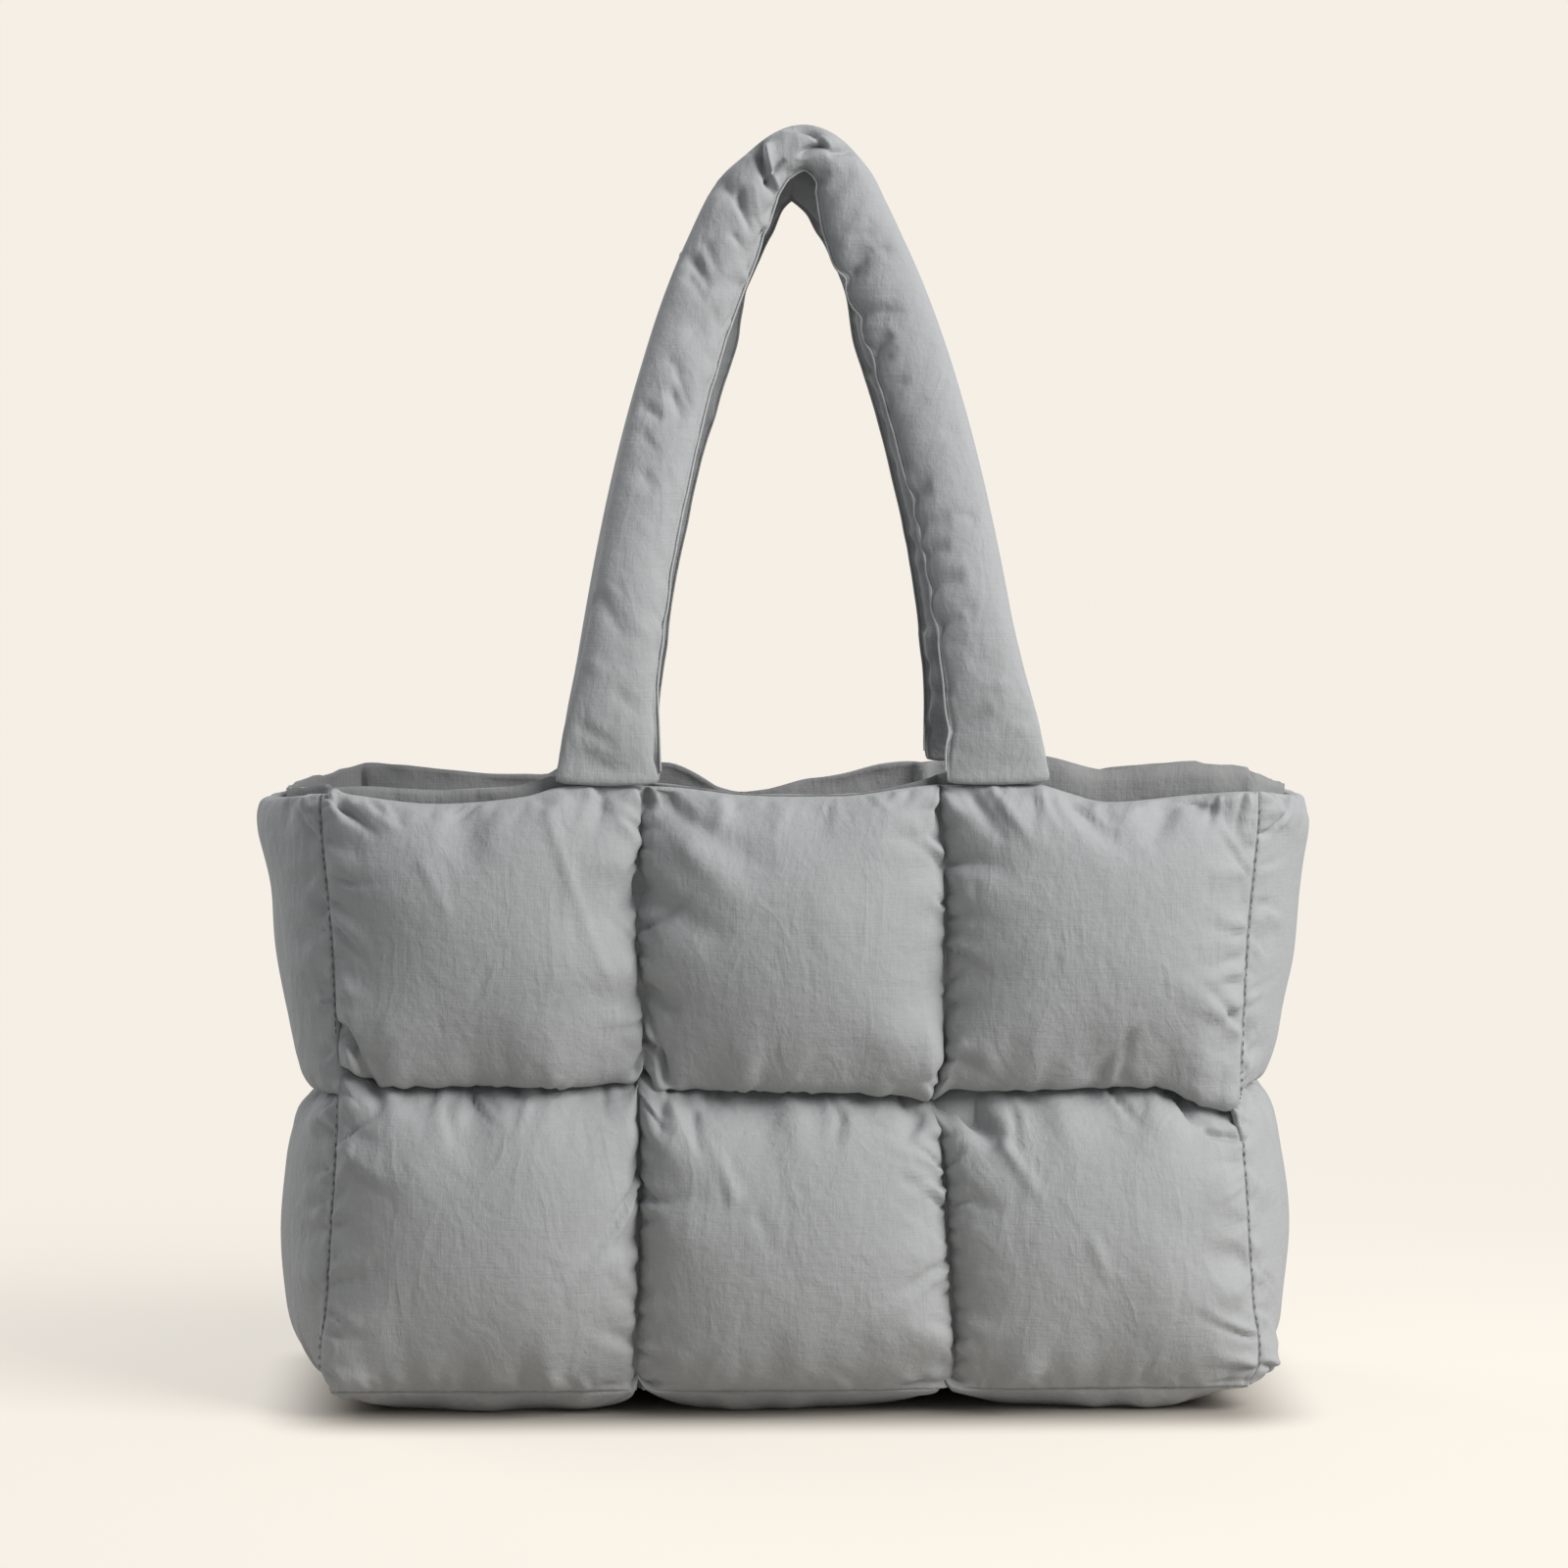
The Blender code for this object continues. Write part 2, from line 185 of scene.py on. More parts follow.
HANDLE_CREASES = (
    Crease(0.4792, 1.00, 0.4650, -1.00, 0.0018, 0.0060),
    Crease(0.4845, 0.62, 0.4700, -1.00, 0.0014, -0.0030),
    Crease(0.4690, -0.45, 0.4900, -0.30, 0.0020, 0.0034),
    Crease(0.5020, 1.00, 0.5125, 0.35, 0.0017, 0.0058),
    Crease(0.5125, 0.35, 0.5000, -0.55, 0.0017, 0.0058),
    Crease(0.5100, 0.62, 0.5180, 0.30, 0.0015, -0.0024),
    Crease(0.5250, 1.00, 0.5180, 0.00, 0.0017, 0.0044),
    Crease(0.4458, 0.22, 0.4250, -0.66, 0.0024, 0.0032),
    Crease(0.4417, 0.32, 0.4230, -0.49, 0.0020, -0.0012),
    Crease(0.4458, 0.81, 0.4375, -0.11, 0.0030, 0.0030),
    Crease(0.3875, 0.67, 0.3708, -0.19, 0.0032, 0.0028),
    Crease(0.3375, -0.08, 0.3583, -0.68, 0.0040, 0.0016),
    Crease(0.2708, 0.63, 0.2625, 0.03, 0.0028, 0.0022),
    Crease(0.2833, -0.06, 0.2667, -0.56, 0.0028, 0.0024),
    Crease(0.1292, 0.82, 0.0958, -0.09, 0.0034, 0.0018),
    Crease(0.0208, 0.47, 0.0083, -0.25, 0.0034, 0.0014),
    Crease(0.6042, -0.76, 0.5958, 0.14, 0.0038, 0.0032),
    Crease(0.6375, -0.90, 0.6500, 0.30, 0.0038, 0.0028),
    Crease(0.6667, -0.85, 0.6625, -0.30, 0.0032, 0.0028),
    Crease(0.7833, -0.90, 0.7833, -0.40, 0.0036, 0.0024),
    Crease(0.8083, -0.90, 0.8125, -0.10, 0.0036, 0.0022),
    Crease(0.8292, -0.90, 0.8292, -0.27, 0.0032, 0.0022),
    Crease(0.8542, -0.90, 0.8542, 0.00, 0.0036, 0.0024),
    Crease(0.8833, -0.90, 0.8792, -0.30, 0.0036, 0.0024),
    Crease(0.9583, -0.90, 0.9458, 0.00, 0.0036, 0.0024),
)
FRONT_ROW_DRIFT = (
    Drift(0.00, 0.0130),
    Drift(0.02, 0.0088),
    Drift(0.045, 0.0042),
    Drift(0.17, 0.0034),
    Drift(0.31, 0.0045),
    Drift(0.335, 0.0072),
    Drift(0.365, 0.0012),
    Drift(0.50, 0.0014),
    Drift(0.64, -0.0016),
    Drift(0.665, -0.0058),
    Drift(0.69, 0.0002),
    Drift(0.82, 0.0020),
    Drift(0.90, 0.0022),
    Drift(0.955, -0.0050),
    Drift(1.00, -0.0090),
)
FRONT_FOLDS = (
    Fold(0.235, 0.965, 0.306, 0.647, 0.0022, -0.0010),
    Fold(0.106, 0.898, 0.133, 0.791, 0.0020, -0.0008),
    Fold(0.355, 0.977, 0.486, 0.875, 0.0065, 0.0026),
    Fold(0.341, 0.828, 0.434, 0.756, 0.0060, 0.0024),
    Fold(0.342, 0.652, 0.378, 0.640, 0.0030, 0.0022),
    Fold(0.389, 0.903, 0.465, 0.803, 0.0060, -0.0016),
    Fold(0.774, 0.993, 0.792, 0.918, 0.0020, -0.0014),
    Fold(0.830, 0.993, 0.842, 0.948, 0.0018, -0.0012),
    Fold(0.928, 1.000, 0.988, 0.941, 0.0050, 0.0030),
    Fold(0.809, 0.993, 0.873, 0.903, 0.0060, 0.0022),
    Fold(0.842, 0.548, 0.875, 0.609, 0.0035, 0.0026),
    Fold(0.869, 0.545, 0.871, 0.619, 0.0022, 0.0018),
    Fold(0.355, 0.515, 0.386, 0.441, 0.0022, -0.0018),
    Fold(0.435, 0.334, 0.413, 0.435, 0.0022, -0.0013),
    Fold(0.462, 0.304, 0.481, 0.229, 0.0020, 0.0008),
    Fold(0.695, 0.502, 0.725, 0.401, 0.0050, 0.0060),
    Fold(0.733, 0.415, 0.774, 0.314, 0.0024, -0.0015),
    Fold(0.823, 0.253, 0.842, 0.182, 0.0022, -0.0010),
    Fold(0.643, 0.485, 0.620, 0.426, 0.0030, 0.0022),
    Fold(0.905, 0.987, 0.884, 0.920, 0.0045, 0.0022),
    Fold(0.004, 0.577, 0.041, 0.518, 0.0022, 0.0045),
    Fold(0.924, 0.517, 0.965, 0.463, 0.0022, 0.0040),
    Fold(0.965, 0.463, 0.999, 0.457, 0.0018, 0.0030),
    Fold(0.330, 0.905, 0.290, 0.975, 0.0022, -0.0014),
    Fold(0.700, 0.990, 0.735, 0.905, 0.0022, 0.0016),
    Fold(0.725, 0.990, 0.765, 0.900, 0.0020, -0.0014),
    Fold(0.020, 0.985, 0.060, 0.930, 0.0024, 0.0016),
    Fold(0.045, 0.985, 0.085, 0.945, 0.0020, -0.0012),
    Fold(0.395, 0.470, 0.400, 0.400, 0.0018, 0.0014),
    Fold(0.560, 0.480, 0.545, 0.410, 0.0020, 0.0014),
    Fold(0.120, 0.480, 0.135, 0.400, 0.0022, 0.0014),
    Fold(0.210, 0.480, 0.200, 0.420, 0.0020, -0.0012),
    Fold(0.750, 0.470, 0.745, 0.390, 0.0020, 0.0012),
    Fold(0.334, 0.572, 0.351, 0.566, 0.0017, 0.0040),
    Fold(0.351, 0.566, 0.357, 0.530, 0.0017, 0.0040),
    Fold(0.318, 0.545, 0.333, 0.556, 0.0015, 0.0030),
)
STRAIGHT = (Drift(0.0, 0.0), Drift(1.0, 0.0))
LEFT_COLUMN_DRIFT = (
    Drift(0.00, -0.0005),
    Drift(0.30, 0.0000),
    Drift(0.49, -0.0015),
    Drift(0.54, 0.0015),
    Drift(0.75, -0.0010),
    Drift(0.93, 0.0015),
    Drift(1.00, 0.0040),
)
RIGHT_COLUMN_DRIFT = (
    Drift(0.00, 0.0030),
    Drift(0.25, 0.0015),
    Drift(0.45, -0.0005),
    Drift(0.51, -0.0045),
    Drift(0.60, 0.0010),
    Drift(0.85, 0.0000),
    Drift(1.00, -0.0035),
)


class Wrinkle(NamedTuple):
    """One size of the waves in cloth, in metres; straighter ones wander less.

    They die out past their reach.
    """

    spacing: float
    height: float
    straightness: float
    reach: float = math.inf


HANDLE_WRINKLES = (
    Wrinkle(0.0070, 0.0008, 0.30),
    Wrinkle(0.0180, 0.0014, 0.30),
)
SEAM_WRINKLES = (
    Wrinkle(0.0050, 0.0026, 0.25, 0.009),
    Wrinkle(0.0110, 0.0045, 0.30, 0.018),
    Wrinkle(0.0280, 0.0040, 0.60, 0.045),
)


@dataclass(frozen=True)
class CreaseScatter:
    """Small slanting creases at random places over a handle; each range holds a least and a most."""

    seed: int
    count: int
    slope: float = -0.022
    right_slope: float = 0.25
    margin: float = 0.03
    across_range: tuple[float, float] = (-0.75, 0.75)
    run_range: tuple[float, float] = (0.35, 0.9)
    slope_range: tuple[float, float] = (0.5, 1.4)
    width_range: tuple[float, float] = (0.0016, 0.0030)
    depth_range: tuple[float, float] = (-0.0010, 0.0016)

    def creases(self) -> tuple[Crease, ...]:
        """The creases, which lie nearly straight across the handle's right half."""
        dice = np.random.default_rng(self.seed)
        made = []
        for number in range(self.count):
            along = (number + dice.uniform()) / self.count * (1 - 2 * self.margin) + self.margin
            across, run = dice.uniform(*self.across_range), dice.uniform(*self.run_range)
            slope = self.slope * dice.uniform(*self.slope_range) * (1 if along < 0.5 else self.right_slope)
            width, depth = dice.uniform(*self.width_range), dice.uniform(*self.depth_range)
            made.append(Crease(along, across, along + slope * run, across - run, width, depth))
        return tuple(made)


@dataclass(frozen=True)
class Pleats:
    """The small sharp gathers that leave a seam at random places; sizes are metres, and ranges are shares.

    A pleat fans out from its seam, bends a little, and has a ridge on one side of its valley.
    """

    spacing: float = 0.0085
    shortest: float = 0.007
    longest: float = 0.034
    width: float = 0.0014
    depth: float = 0.0022
    slant: float = 0.50
    bend: float = 6.0
    shortness: float = 2.5
    lead: float = 0.0012
    fade: float = 1.3
    sharpness: float = 1.3
    fan_start: float = 0.7
    fan_growth: float = 1.6
    ridge: float = 0.7
    ridge_place: float = 1.9
    ridge_spread: float = 1.6
    width_range: tuple[float, float] = (0.7, 1.9)
    depth_range: tuple[float, float] = (0.25, 1.5)
    spacing_range: tuple[float, float] = (0.35, 1.8)

    def depths(self, seed: int, away: Array, along: Array, length: float) -> Array:
        """How deep the pleats on one side of a seam press the cloth in.

        Args:
            seed: Picks the pleats.
            away: Distances from the seam, on this side of it.
            along: Places along it.
            length: How long it is.

        Returns:
            Depths, below 0 on the ridge beside each pleat.
        """
        dice = np.random.default_rng(seed)
        depth = np.zeros_like(away)
        place = dice.uniform(0, self.spacing)
        while place < length:
            reach = self.shortest + (self.longest - self.shortest) * dice.uniform() ** self.shortness
            slant, bend = dice.normal(0, self.slant), dice.normal(0, self.bend)
            share = np.clip(away / reach, 0, 1)
            fan = self.fan_start + self.fan_growth * share
            breadth = self.width * dice.uniform(*self.width_range) * fan
            offset = (along - place - slant * away - bend * away**2) / breadth
            beside = offset * dice.choice((-1, 1)) - self.ridge_place
            valley = np.exp(-np.abs(offset) ** self.sharpness)
            profile = valley - self.ridge * np.exp(-(beside**2) / self.ridge_spread)
            fading = (1 - np.exp(-away / self.lead)) * (1 - share) ** self.fade
            depth += self.depth * dice.uniform(*self.depth_range) * profile * fading
            place += self.spacing * dice.uniform(*self.spacing_range)
        return depth


def read_table(table: tuple, column: str, places: Array) -> Array:
    """Reads a column at places between the rows, on a smooth curve through them.

    Args:
        table: Rows whose first field is the place.
        column: The field to read.
        places: Where to read it.

    Returns:
        The values there.
    """
    knots = np.array([row[0] for row in table])
    values = np.array([getattr(row, column) for row in table])
    steps = np.diff(values)
    slopes = np.zeros(len(values))
    rising = steps[1:] * steps[:-1] > 0
    slopes[1:-1] = np.where(rising, (values[2:] - values[:-2]) / (knots[2:] - knots[:-2]), 0)
    places = np.clip(np.asarray(places, float), knots[0], knots[-1])
    row = np.clip(np.searchsorted(knots, places) - 1, 0, len(knots) - 2)
    width = knots[row + 1] - knots[row]
    share = (places - knots[row]) / width
    rise = ease(share)
    lead_in = slopes[row] * width * share * (1 - share) ** 2
    lead_out = slopes[row + 1] * width * share * share * (1 - share)
    return values[row] + steps[row] * rise + lead_in - lead_out


def blend(first: Array, second: Array, share: Array) -> Array:
    """The value a share of the way from the first to the second."""
    return first + (second - first) * share


def bow(share: Array) -> Array:
    """A shallow arch: 0 at both ends and 1 in the middle."""
    return 4 * share * (1 - share)


def ease(share: Array) -> Array:
    """A share from 0 to 1, eased so that it starts and ends level."""
    return share * share * (3 - 2 * share)


def smooth_step(low: float, high: float, value: Array) -> Array:
    """Rises smoothly from 0 at low to 1 at high."""
    return ease(np.clip((value - low) / (high - low), 0, 1))


def hump(distance: Array) -> Array:
    """Rises from 0 at 0 to 1 at 1 and dies away beyond; 0 at distances below 0."""
    ahead = np.maximum(distance, 0)
    return ahead * np.exp(1 - ahead)


def unit_rows(rows: Array) -> Array:
    """Each row divided by its length."""
    return rows / np.maximum(np.linalg.norm(rows, axis=1, keepdims=True), TINY)


def route_places(route: Array) -> Array:
    """How far along a route each of its points lies."""
    return np.concatenate([[0], np.cumsum(np.linalg.norm(np.diff(route, axis=0), axis=1))])


def read_route(rows: Array, places: Array, wanted: Array) -> Array:
    """Rows that belong to places along a route, read at other places along it."""
    return np.stack([np.interp(wanted, places, rows[:, i]) for i in range(3)], axis=-1)


@dataclass(frozen=True)
class Ripple:
    """Smooth random waves, the same on each run, with about one hill to each two spacings."""

    seed: int
    spacing: float
    knots: int = 256

    def along(self, places: Array) -> Array:
        """Waves along a line, from about -1 to 1."""
        return self.over(places, np.zeros_like(places))

    def over(self, first: Array, second: Array) -> Array:
        """Waves over a plane, from about -1 to 1.

        Args:
            first: Places along one axis, in metres.
            second: Places along the other, in metres.

        Returns:
            The height of the waves there.
        """
        heights = np.random.default_rng(self.seed).uniform(-1, 1, (self.knots, self.knots))
        column, column_share = self._cell(first)
        row, row_share = self._cell(second)

        def knot(right: int, up: int) -> Array:
            """The heights of the knots so many steps right and up."""
            return heights[(column + right) % self.knots, (row + up) % self.knots]

        low = blend(knot(0, 0), knot(1, 0), column_share)
        high = blend(knot(0, 1), knot(1, 1), column_share)
        return blend(low, high, row_share)

    def _cell(self, places: Array) -> tuple[Array, Array]:
        """The knot below each place, and the eased share of the way to the next."""
        steps = np.asarray(places) / self.spacing
        cell = np.floor(steps).astype(int)
        return cell, ease(steps - cell)


@dataclass(frozen=True)
class SewnOutline:
    """Where the bag's seams run: the planes that its panels are sewn in, from the frame's own sizes."""

    width: float = 0.370
    depth: float = 0.128
    height: float = 0.2385
    base_seam_height: float = 0.0115
    row_seam_share: float = 0.51
    face_swell: float = 0.008
    gusset_swell: float = 0.0262
    rim_dip: float = 0.012
    gusset_dip: float = 0.005

    def level(self, column: str, up: Array) -> Array:
        """A column of the outline's table at shares of the body's height."""
        return read_table(LEVELS, column, up)

    def height_at(self, up: Array, dip: Array) -> Array:
        """Height above the floor, where the rim's dip fades out down to the row seam."""
        below_rim = np.maximum(up - self.row_seam_share, 0) / (1 - self.row_seam_share)
        return self.base_seam_height + self.height * up - dip * below_rim**2

    def face(self, edge: Edge, across: Array, up: Array) -> Array:
        """The sewn plane of the front or back panel.

        Args:
            edge: Which of the two.
            across: Shares across it, from the left.
            up: Shares up it.

        Returns:
            Points, one row each.
        """
        front = edge is Edge.FRONT
        side = -1 if front else 1
        x = (2 * across - 1) * self.width / 2 * self.level("front_width" if front else "back_width", up)
        swell = self.face_swell * self.level("face_swell", up) * bow(across)
        y = side * (self.depth / 2 * self.level("depth", up) + swell)
        dip = self.rim_dip * read_table(RIM, "front" if front else "back", across)
        return np.stack([x, y, self.height_at(up, dip)], axis=1)

    def gusset(self, edge: Edge, across: Array, up: Array) -> Array:
        """The sewn plane of the left or right gusset.

        Args:
            edge: Which of the two.
            across: Shares across it, from the front.
            up: Shares up it.

        Returns:
            Points, one row each.
        """
        side = -1 if edge is Edge.LEFT else 1
        seam = self.width / 2 * blend(self.level("front_width", up), self.level("back_width", up), across)
        x = side * (seam + self.gusset_swell * self.level("gusset_swell", up) * bow(across))
        y = (2 * across - 1) * self.depth / 2 * self.level("depth", up)
        return np.stack([x, y, self.height_at(up, self.gusset_dip * bow(across))], axis=1)

    def base(self, across: Array, back: Array) -> Array:
        """The sewn plane of the base.

        Args:
            across: Shares across it, from the left.
            back: Shares from the front to the back.

        Returns:
            Points, one row each.
        """
        floor = np.zeros_like(across)
        seam = blend(self.level("front_width", floor), self.level("back_width", floor), back)
        half_width = self.width / 2 * seam + self.gusset_swell * self.level("gusset_swell", floor) * bow(back)
        swell = self.face_swell * self.level("face_swell", floor) * bow(across)
        half_depth = self.depth / 2 * self.level("depth", floor) + swell
        height = np.full_like(across, self.base_seam_height)
        return np.stack([(2 * across - 1) * half_width, (2 * back - 1) * half_depth, height], axis=1)


OUTLINE = SewnOutline()


def read_points(data: bpy.types.Mesh) -> Array:
    """A mesh's vertices as rows of x, y and z."""
    points = np.empty(len(data.vertices) * 3)
    data.vertices.foreach_get("co", points)
    return points.reshape(-1, 3)


def write_points(data: bpy.types.Mesh, points: Array) -> None:
    """Moves a mesh's vertices to rows of x, y and z."""
    data.vertices.foreach_set("co", points.ravel())
    data.update()


def read_normals(data: bpy.types.Mesh) -> Array:
    """A mesh's vertex normals as rows."""
    normals = np.empty(len(data.vertices) * 3)
    data.vertex_normals.foreach_get("vector", normals)
    return normals.reshape(-1, 3)


def read_layer(data: bpy.types.Mesh, name: str) -> Array:
    """A number kept on each vertex."""
    values = np.empty(len(data.vertices))
    data.attributes[name].data.foreach_get("value", values)
    return values


def keep_layer(data: bpy.types.Mesh, name: str, values: Array) -> None:
    """Keeps a number on each vertex."""
    layer = data.attributes.get(name) or data.attributes.new(name, "FLOAT", "POINT")
    layer.data.foreach_set("value", np.asarray(values, np.float32))


def new_piece(name: str, mesh: bmesh.types.BMesh) -> bpy.types.Object:
    """Turns a bmesh into a smooth object at the origin.

    Args:
        name: The object's name.
        mesh: The bmesh, which is freed.

    Returns:
        The object, linked to the scene.
    """
    data = bpy.data.meshes.new(name)
    mesh.to_mesh(data)
    mesh.free()
    data.shade_smooth()
    piece = bpy.data.objects.new(name, data)
    bpy.context.scene.collection.objects.link(piece)
    return piece


def ringed_tube(mesh: bmesh.types.BMesh, sides: int, rings: int, capped: bool) -> None:
    """Adds a tube of radius 1 along Z, round the origin, with its rings a metre apart.

    Args:
        mesh: The bmesh to add it to.
        sides: How many vertices go round it.
        rings: How many steps run along it.
        capped: True to close its ends.
    """
    bmesh.ops.create_cone(
        mesh, cap_ends=capped, segments=sides, radius1=1, radius2=1, depth=rings,
        calc_uvs=len(mesh.loops.layers.uv) > 0,
    )
    lengthwise = [edge for edge in mesh.edges if abs(edge.verts[0].co.z - edge.verts[1].co.z) > 1]
    bmesh.ops.subdivide_edges(mesh, edges=lengthwise, cuts=rings - 1, use_grid_fill=True)


def apply_subdivision(piece: bpy.types.Object) -> None:
    """Subdivides a piece's mesh once, for good."""
    modifier = piece.modifiers.new("finer", "SUBSURF")
    modifier.levels = 1
    modifier.render_levels = 1
    graph = bpy.context.evaluated_depsgraph_get()
    finer = bpy.data.meshes.new_from_object(piece.evaluated_get(graph), depsgraph=graph)
    piece.modifiers.clear()
    old, name = piece.data, piece.data.name
    piece.data = finer
    bpy.data.meshes.remove(old)
    finer.name = name
    finer.shade_smooth()


@dataclass(frozen=True)
class Filling:
    """What moves a piece's cloth on the bench: the pressure inside, and each vertex's mass and bending."""

    pressure: float
    mass: float = 0.0002
    bending: float = 0.5
    gravity: float = 0.0


@dataclass
class ClothBench:
    """Inflates cloth that is cut larger than the seams that hold it, several pieces side by side."""

    frames: int = 9
    quality: int = 5
    air_damping: float = 1.0
    tension: float = 15.0
    shear: float = 5.0
    laid: list = field(default_factory=list)

    def lay(self, piece: bpy.types.Object, start: Array, cut: Array, held: Array, filling: Filling) -> None:
        """Puts a piece on the bench.

        Args:
            piece: The object whose vertices move.
            start: Where the vertices start.
            cut: Where they lie in the cloth as cut, which gives its lengths.
            held: True for each vertex that a seam holds.
            filling: How hard the padding pushes out, and how the cloth gives way.
        """
        write_points(piece.data, start)
        piece.shape_key_add(name="start")
        cut_key = piece.shape_key_add(name="cut")
        cut_key.data.foreach_set("co", cut.ravel())
        cut_key.value = 0
        group = piece.vertex_groups.new(name="seams")
        group.add([int(i) for i in np.nonzero(held)[0]], 1.0, "REPLACE")
        cloth = piece.modifiers.new("cloth", "CLOTH")
        settings = cloth.settings
        settings.rest_shape_key = cut_key
        settings.quality = self.quality
        settings.mass = filling.mass
        settings.air_damping = self.air_damping
        settings.tension_stiffness = self.tension
        settings.compression_stiffness = self.tension
        settings.shear_stiffness = self.shear
        settings.bending_stiffness = filling.bending
        settings.vertex_group_mass = "seams"
        settings.use_pressure = True
        settings.uniform_pressure_force = filling.pressure
        settings.effector_weights.gravity = filling.gravity
        cloth.collision_settings.use_collision = False
        cloth.collision_settings.use_self_collision = False
        self.laid.append(piece)

    def run(self) -> None:
        """Lets the cloth settle, then keeps its shape and takes the simulation off it."""
        scene = bpy.context.scene
        settled = {piece.name: read_points(piece.data) for piece in self.laid}
        for step in range(1, self.frames + 1):
            scene.frame_set(step)
        graph = bpy.context.evaluated_depsgraph_get()
        settled = {piece.name: read_points(piece.evaluated_get(graph).data) for piece in self.laid}
        for piece in self.laid:
            piece.modifiers.clear()
            piece.shape_key_clear()
            piece.vertex_groups.clear()
            write_points(piece.data, settled[piece.name])
        scene.frame_set(1)
        self.laid.clear()


@dataclass
class QuiltedPanel:
    """A padded panel: cloth puffed out between pinned seams, closed by a plainer layer inside."""

    edge: Edge
    columns: int
    rows: int
    loft: float
    growth_across: float
    growth_up: float
    seed: int
    steps: int = 48
    folds: tuple = ()
    row_drift: tuple = STRAIGHT
    column_drifts: tuple = ()
    pleats: Pleats = Pleats()
    pleat_share: float = 0.45
    fold_strength: float = 1.35
    tuck: float = 0.0130
    reach_above: float = 0.0034
    reach_below: float = 0.0062
    column_tuck: float = 0.0058
    column_reach: float = 0.0022
    crowding: float = 0.62
    sag: float = 0.0084
    sag_below: float = 0.25
    crossing_sag: float = 0.35
    crossing_reach: float = 0.004
    lean: float = 0.0024
    lean_beyond: float = 0.2
    bulge_reach: float = 0.006
    filling: Filling = Filling(400.0, gravity=3.0)
    wrinkling: float = 1.0
    calm_reach: float = 0.002
    seam_thickness: float = 0.003
    inner_loft: float = 0.007
    crown_flatness: float = 2.6
    crown_edge: float = 0.6
    bench_offset: float = 0.4
    piece: bpy.types.Object = None

    @property
    def name(self) -> str:
        """The node that the panel stands for."""
        return {
            Edge.FRONT: "front_panel", Edge.BACK: "back_panel", Edge.LEFT: "left_gusset",
            Edge.RIGHT: "right_gusset", Edge.BASE: "base_panel",
        }[self.edge]

    @property
    def directions(self) -> tuple[Array, Array, Array]:
        """The directions outwards, across and up the panel."""
        table = {
            Edge.FRONT: ((0, -1, 0), (1, 0, 0), (0, 0, 1)),
            Edge.BACK: ((0, 1, 0), (1, 0, 0), (0, 0, 1)),
            Edge.LEFT: ((-1, 0, 0), (0, 1, 0), (0, 0, 1)),
            Edge.RIGHT: ((1, 0, 0), (0, 1, 0), (0, 0, 1)),
            Edge.BASE: ((0, 0, -1), (1, 0, 0), (0, 1, 0)),
        }
        return tuple(np.array(direction, float) for direction in table[self.edge])

    @property
    def cut_size(self) -> tuple[float, float]:
        """The panel's width and height between its seams."""
        if self.edge in (Edge.LEFT, Edge.RIGHT):
            return OUTLINE.depth, OUTLINE.height
        if self.edge is Edge.BASE:
            return OUTLINE.width, OUTLINE.depth
        return OUTLINE.width, OUTLINE.height

    def sewn(self, across: Array, up: Array) -> Array:
        """Points of the plane that the panel is sewn in."""
        if self.edge is Edge.BASE:
            return OUTLINE.base(across, up)
        if self.edge in (Edge.LEFT, Edge.RIGHT):
            return OUTLINE.gusset(self.edge, across, up)
        return OUTLINE.face(self.edge, across, up)

    def row_seams(self) -> Array:
        """The places of the seams that run across the panel."""
        return np.array([0.0, OUTLINE.row_seam_share, 1.0] if self.rows == 2 else [0.0, 1.0])

    def cell_shares(self, across: Array, up: Array) -> tuple[Array, Array]:
        """How far across and up its own puff each place lies."""
        seams = self.row_seams()
        row = np.clip(np.searchsorted(seams, up, side="right") - 1, 0, self.rows - 1)
        column_share = across * self.columns - np.clip(np.floor(across * self.columns), 0, self.columns - 1)
        return column_share, (up - seams[row]) / (seams[row + 1] - seams[row])

    def seam_distances(self, across: Array, up: Array) -> tuple[Array, Array]:
        """Distances to the nearest seam that runs up, and to the nearest that runs across."""
        column_share, row_share = self.cell_shares(across, up)
        width, height = self.cut_size
        to_column = np.minimum(column_share, 1 - column_share) * width / self.columns
        to_row = np.minimum(row_share, 1 - row_share) * height / self.rows
        return to_column, to_row

    def layer(self, across: Array, up: Array, outer: bool) -> Array:
        """The panel's outer or inner layer before its cloth is puffed out.

        Args:
            across: Shares across the panel.
            up: Shares up the panel.
            outer: True for the outer layer.

        Returns:
            Points on it, which along the borders meet a mitre.
        """
        outward, right, upward = self.directions
        end_across = (across > 1 - TINY).astype(float) - (across < TINY)
        end_up = (up > 1 - TINY) * float(self.edge is Edge.BASE) - (up < TINY)
        beside = end_across[:, None] * right + end_up[:, None] * upward
        side = 1 if outer else -1
        drift = read_table(self.row_drift, "stray", across) / self.cut_size[1]
        drifted = up + drift * (2 * np.minimum(up, 1 - up)).clip(0, 1)
        moved = across + self.column_stray(across, up)
        points = self.sewn(moved, drifted) - beside * SEAM_SLIT / math.sqrt(2)
        points -= outward * self.tuck_depth(across, up)[:, None]
        points += (outward + beside) * side * self.seam_thickness / 2
        column_share, row_share = self.cell_shares(across, up)
        if not outer:
            swell = np.sin(math.pi * column_share) * np.sin(math.pi * row_share)
            return points - outward * (self.inner_loft * np.maximum(swell, 0))[:, None]
        puff = self.loft * self.crown(column_share) * self.crown(row_share)
        return points + outward * (puff + self.first_wrinkles(across, up))[:, None]

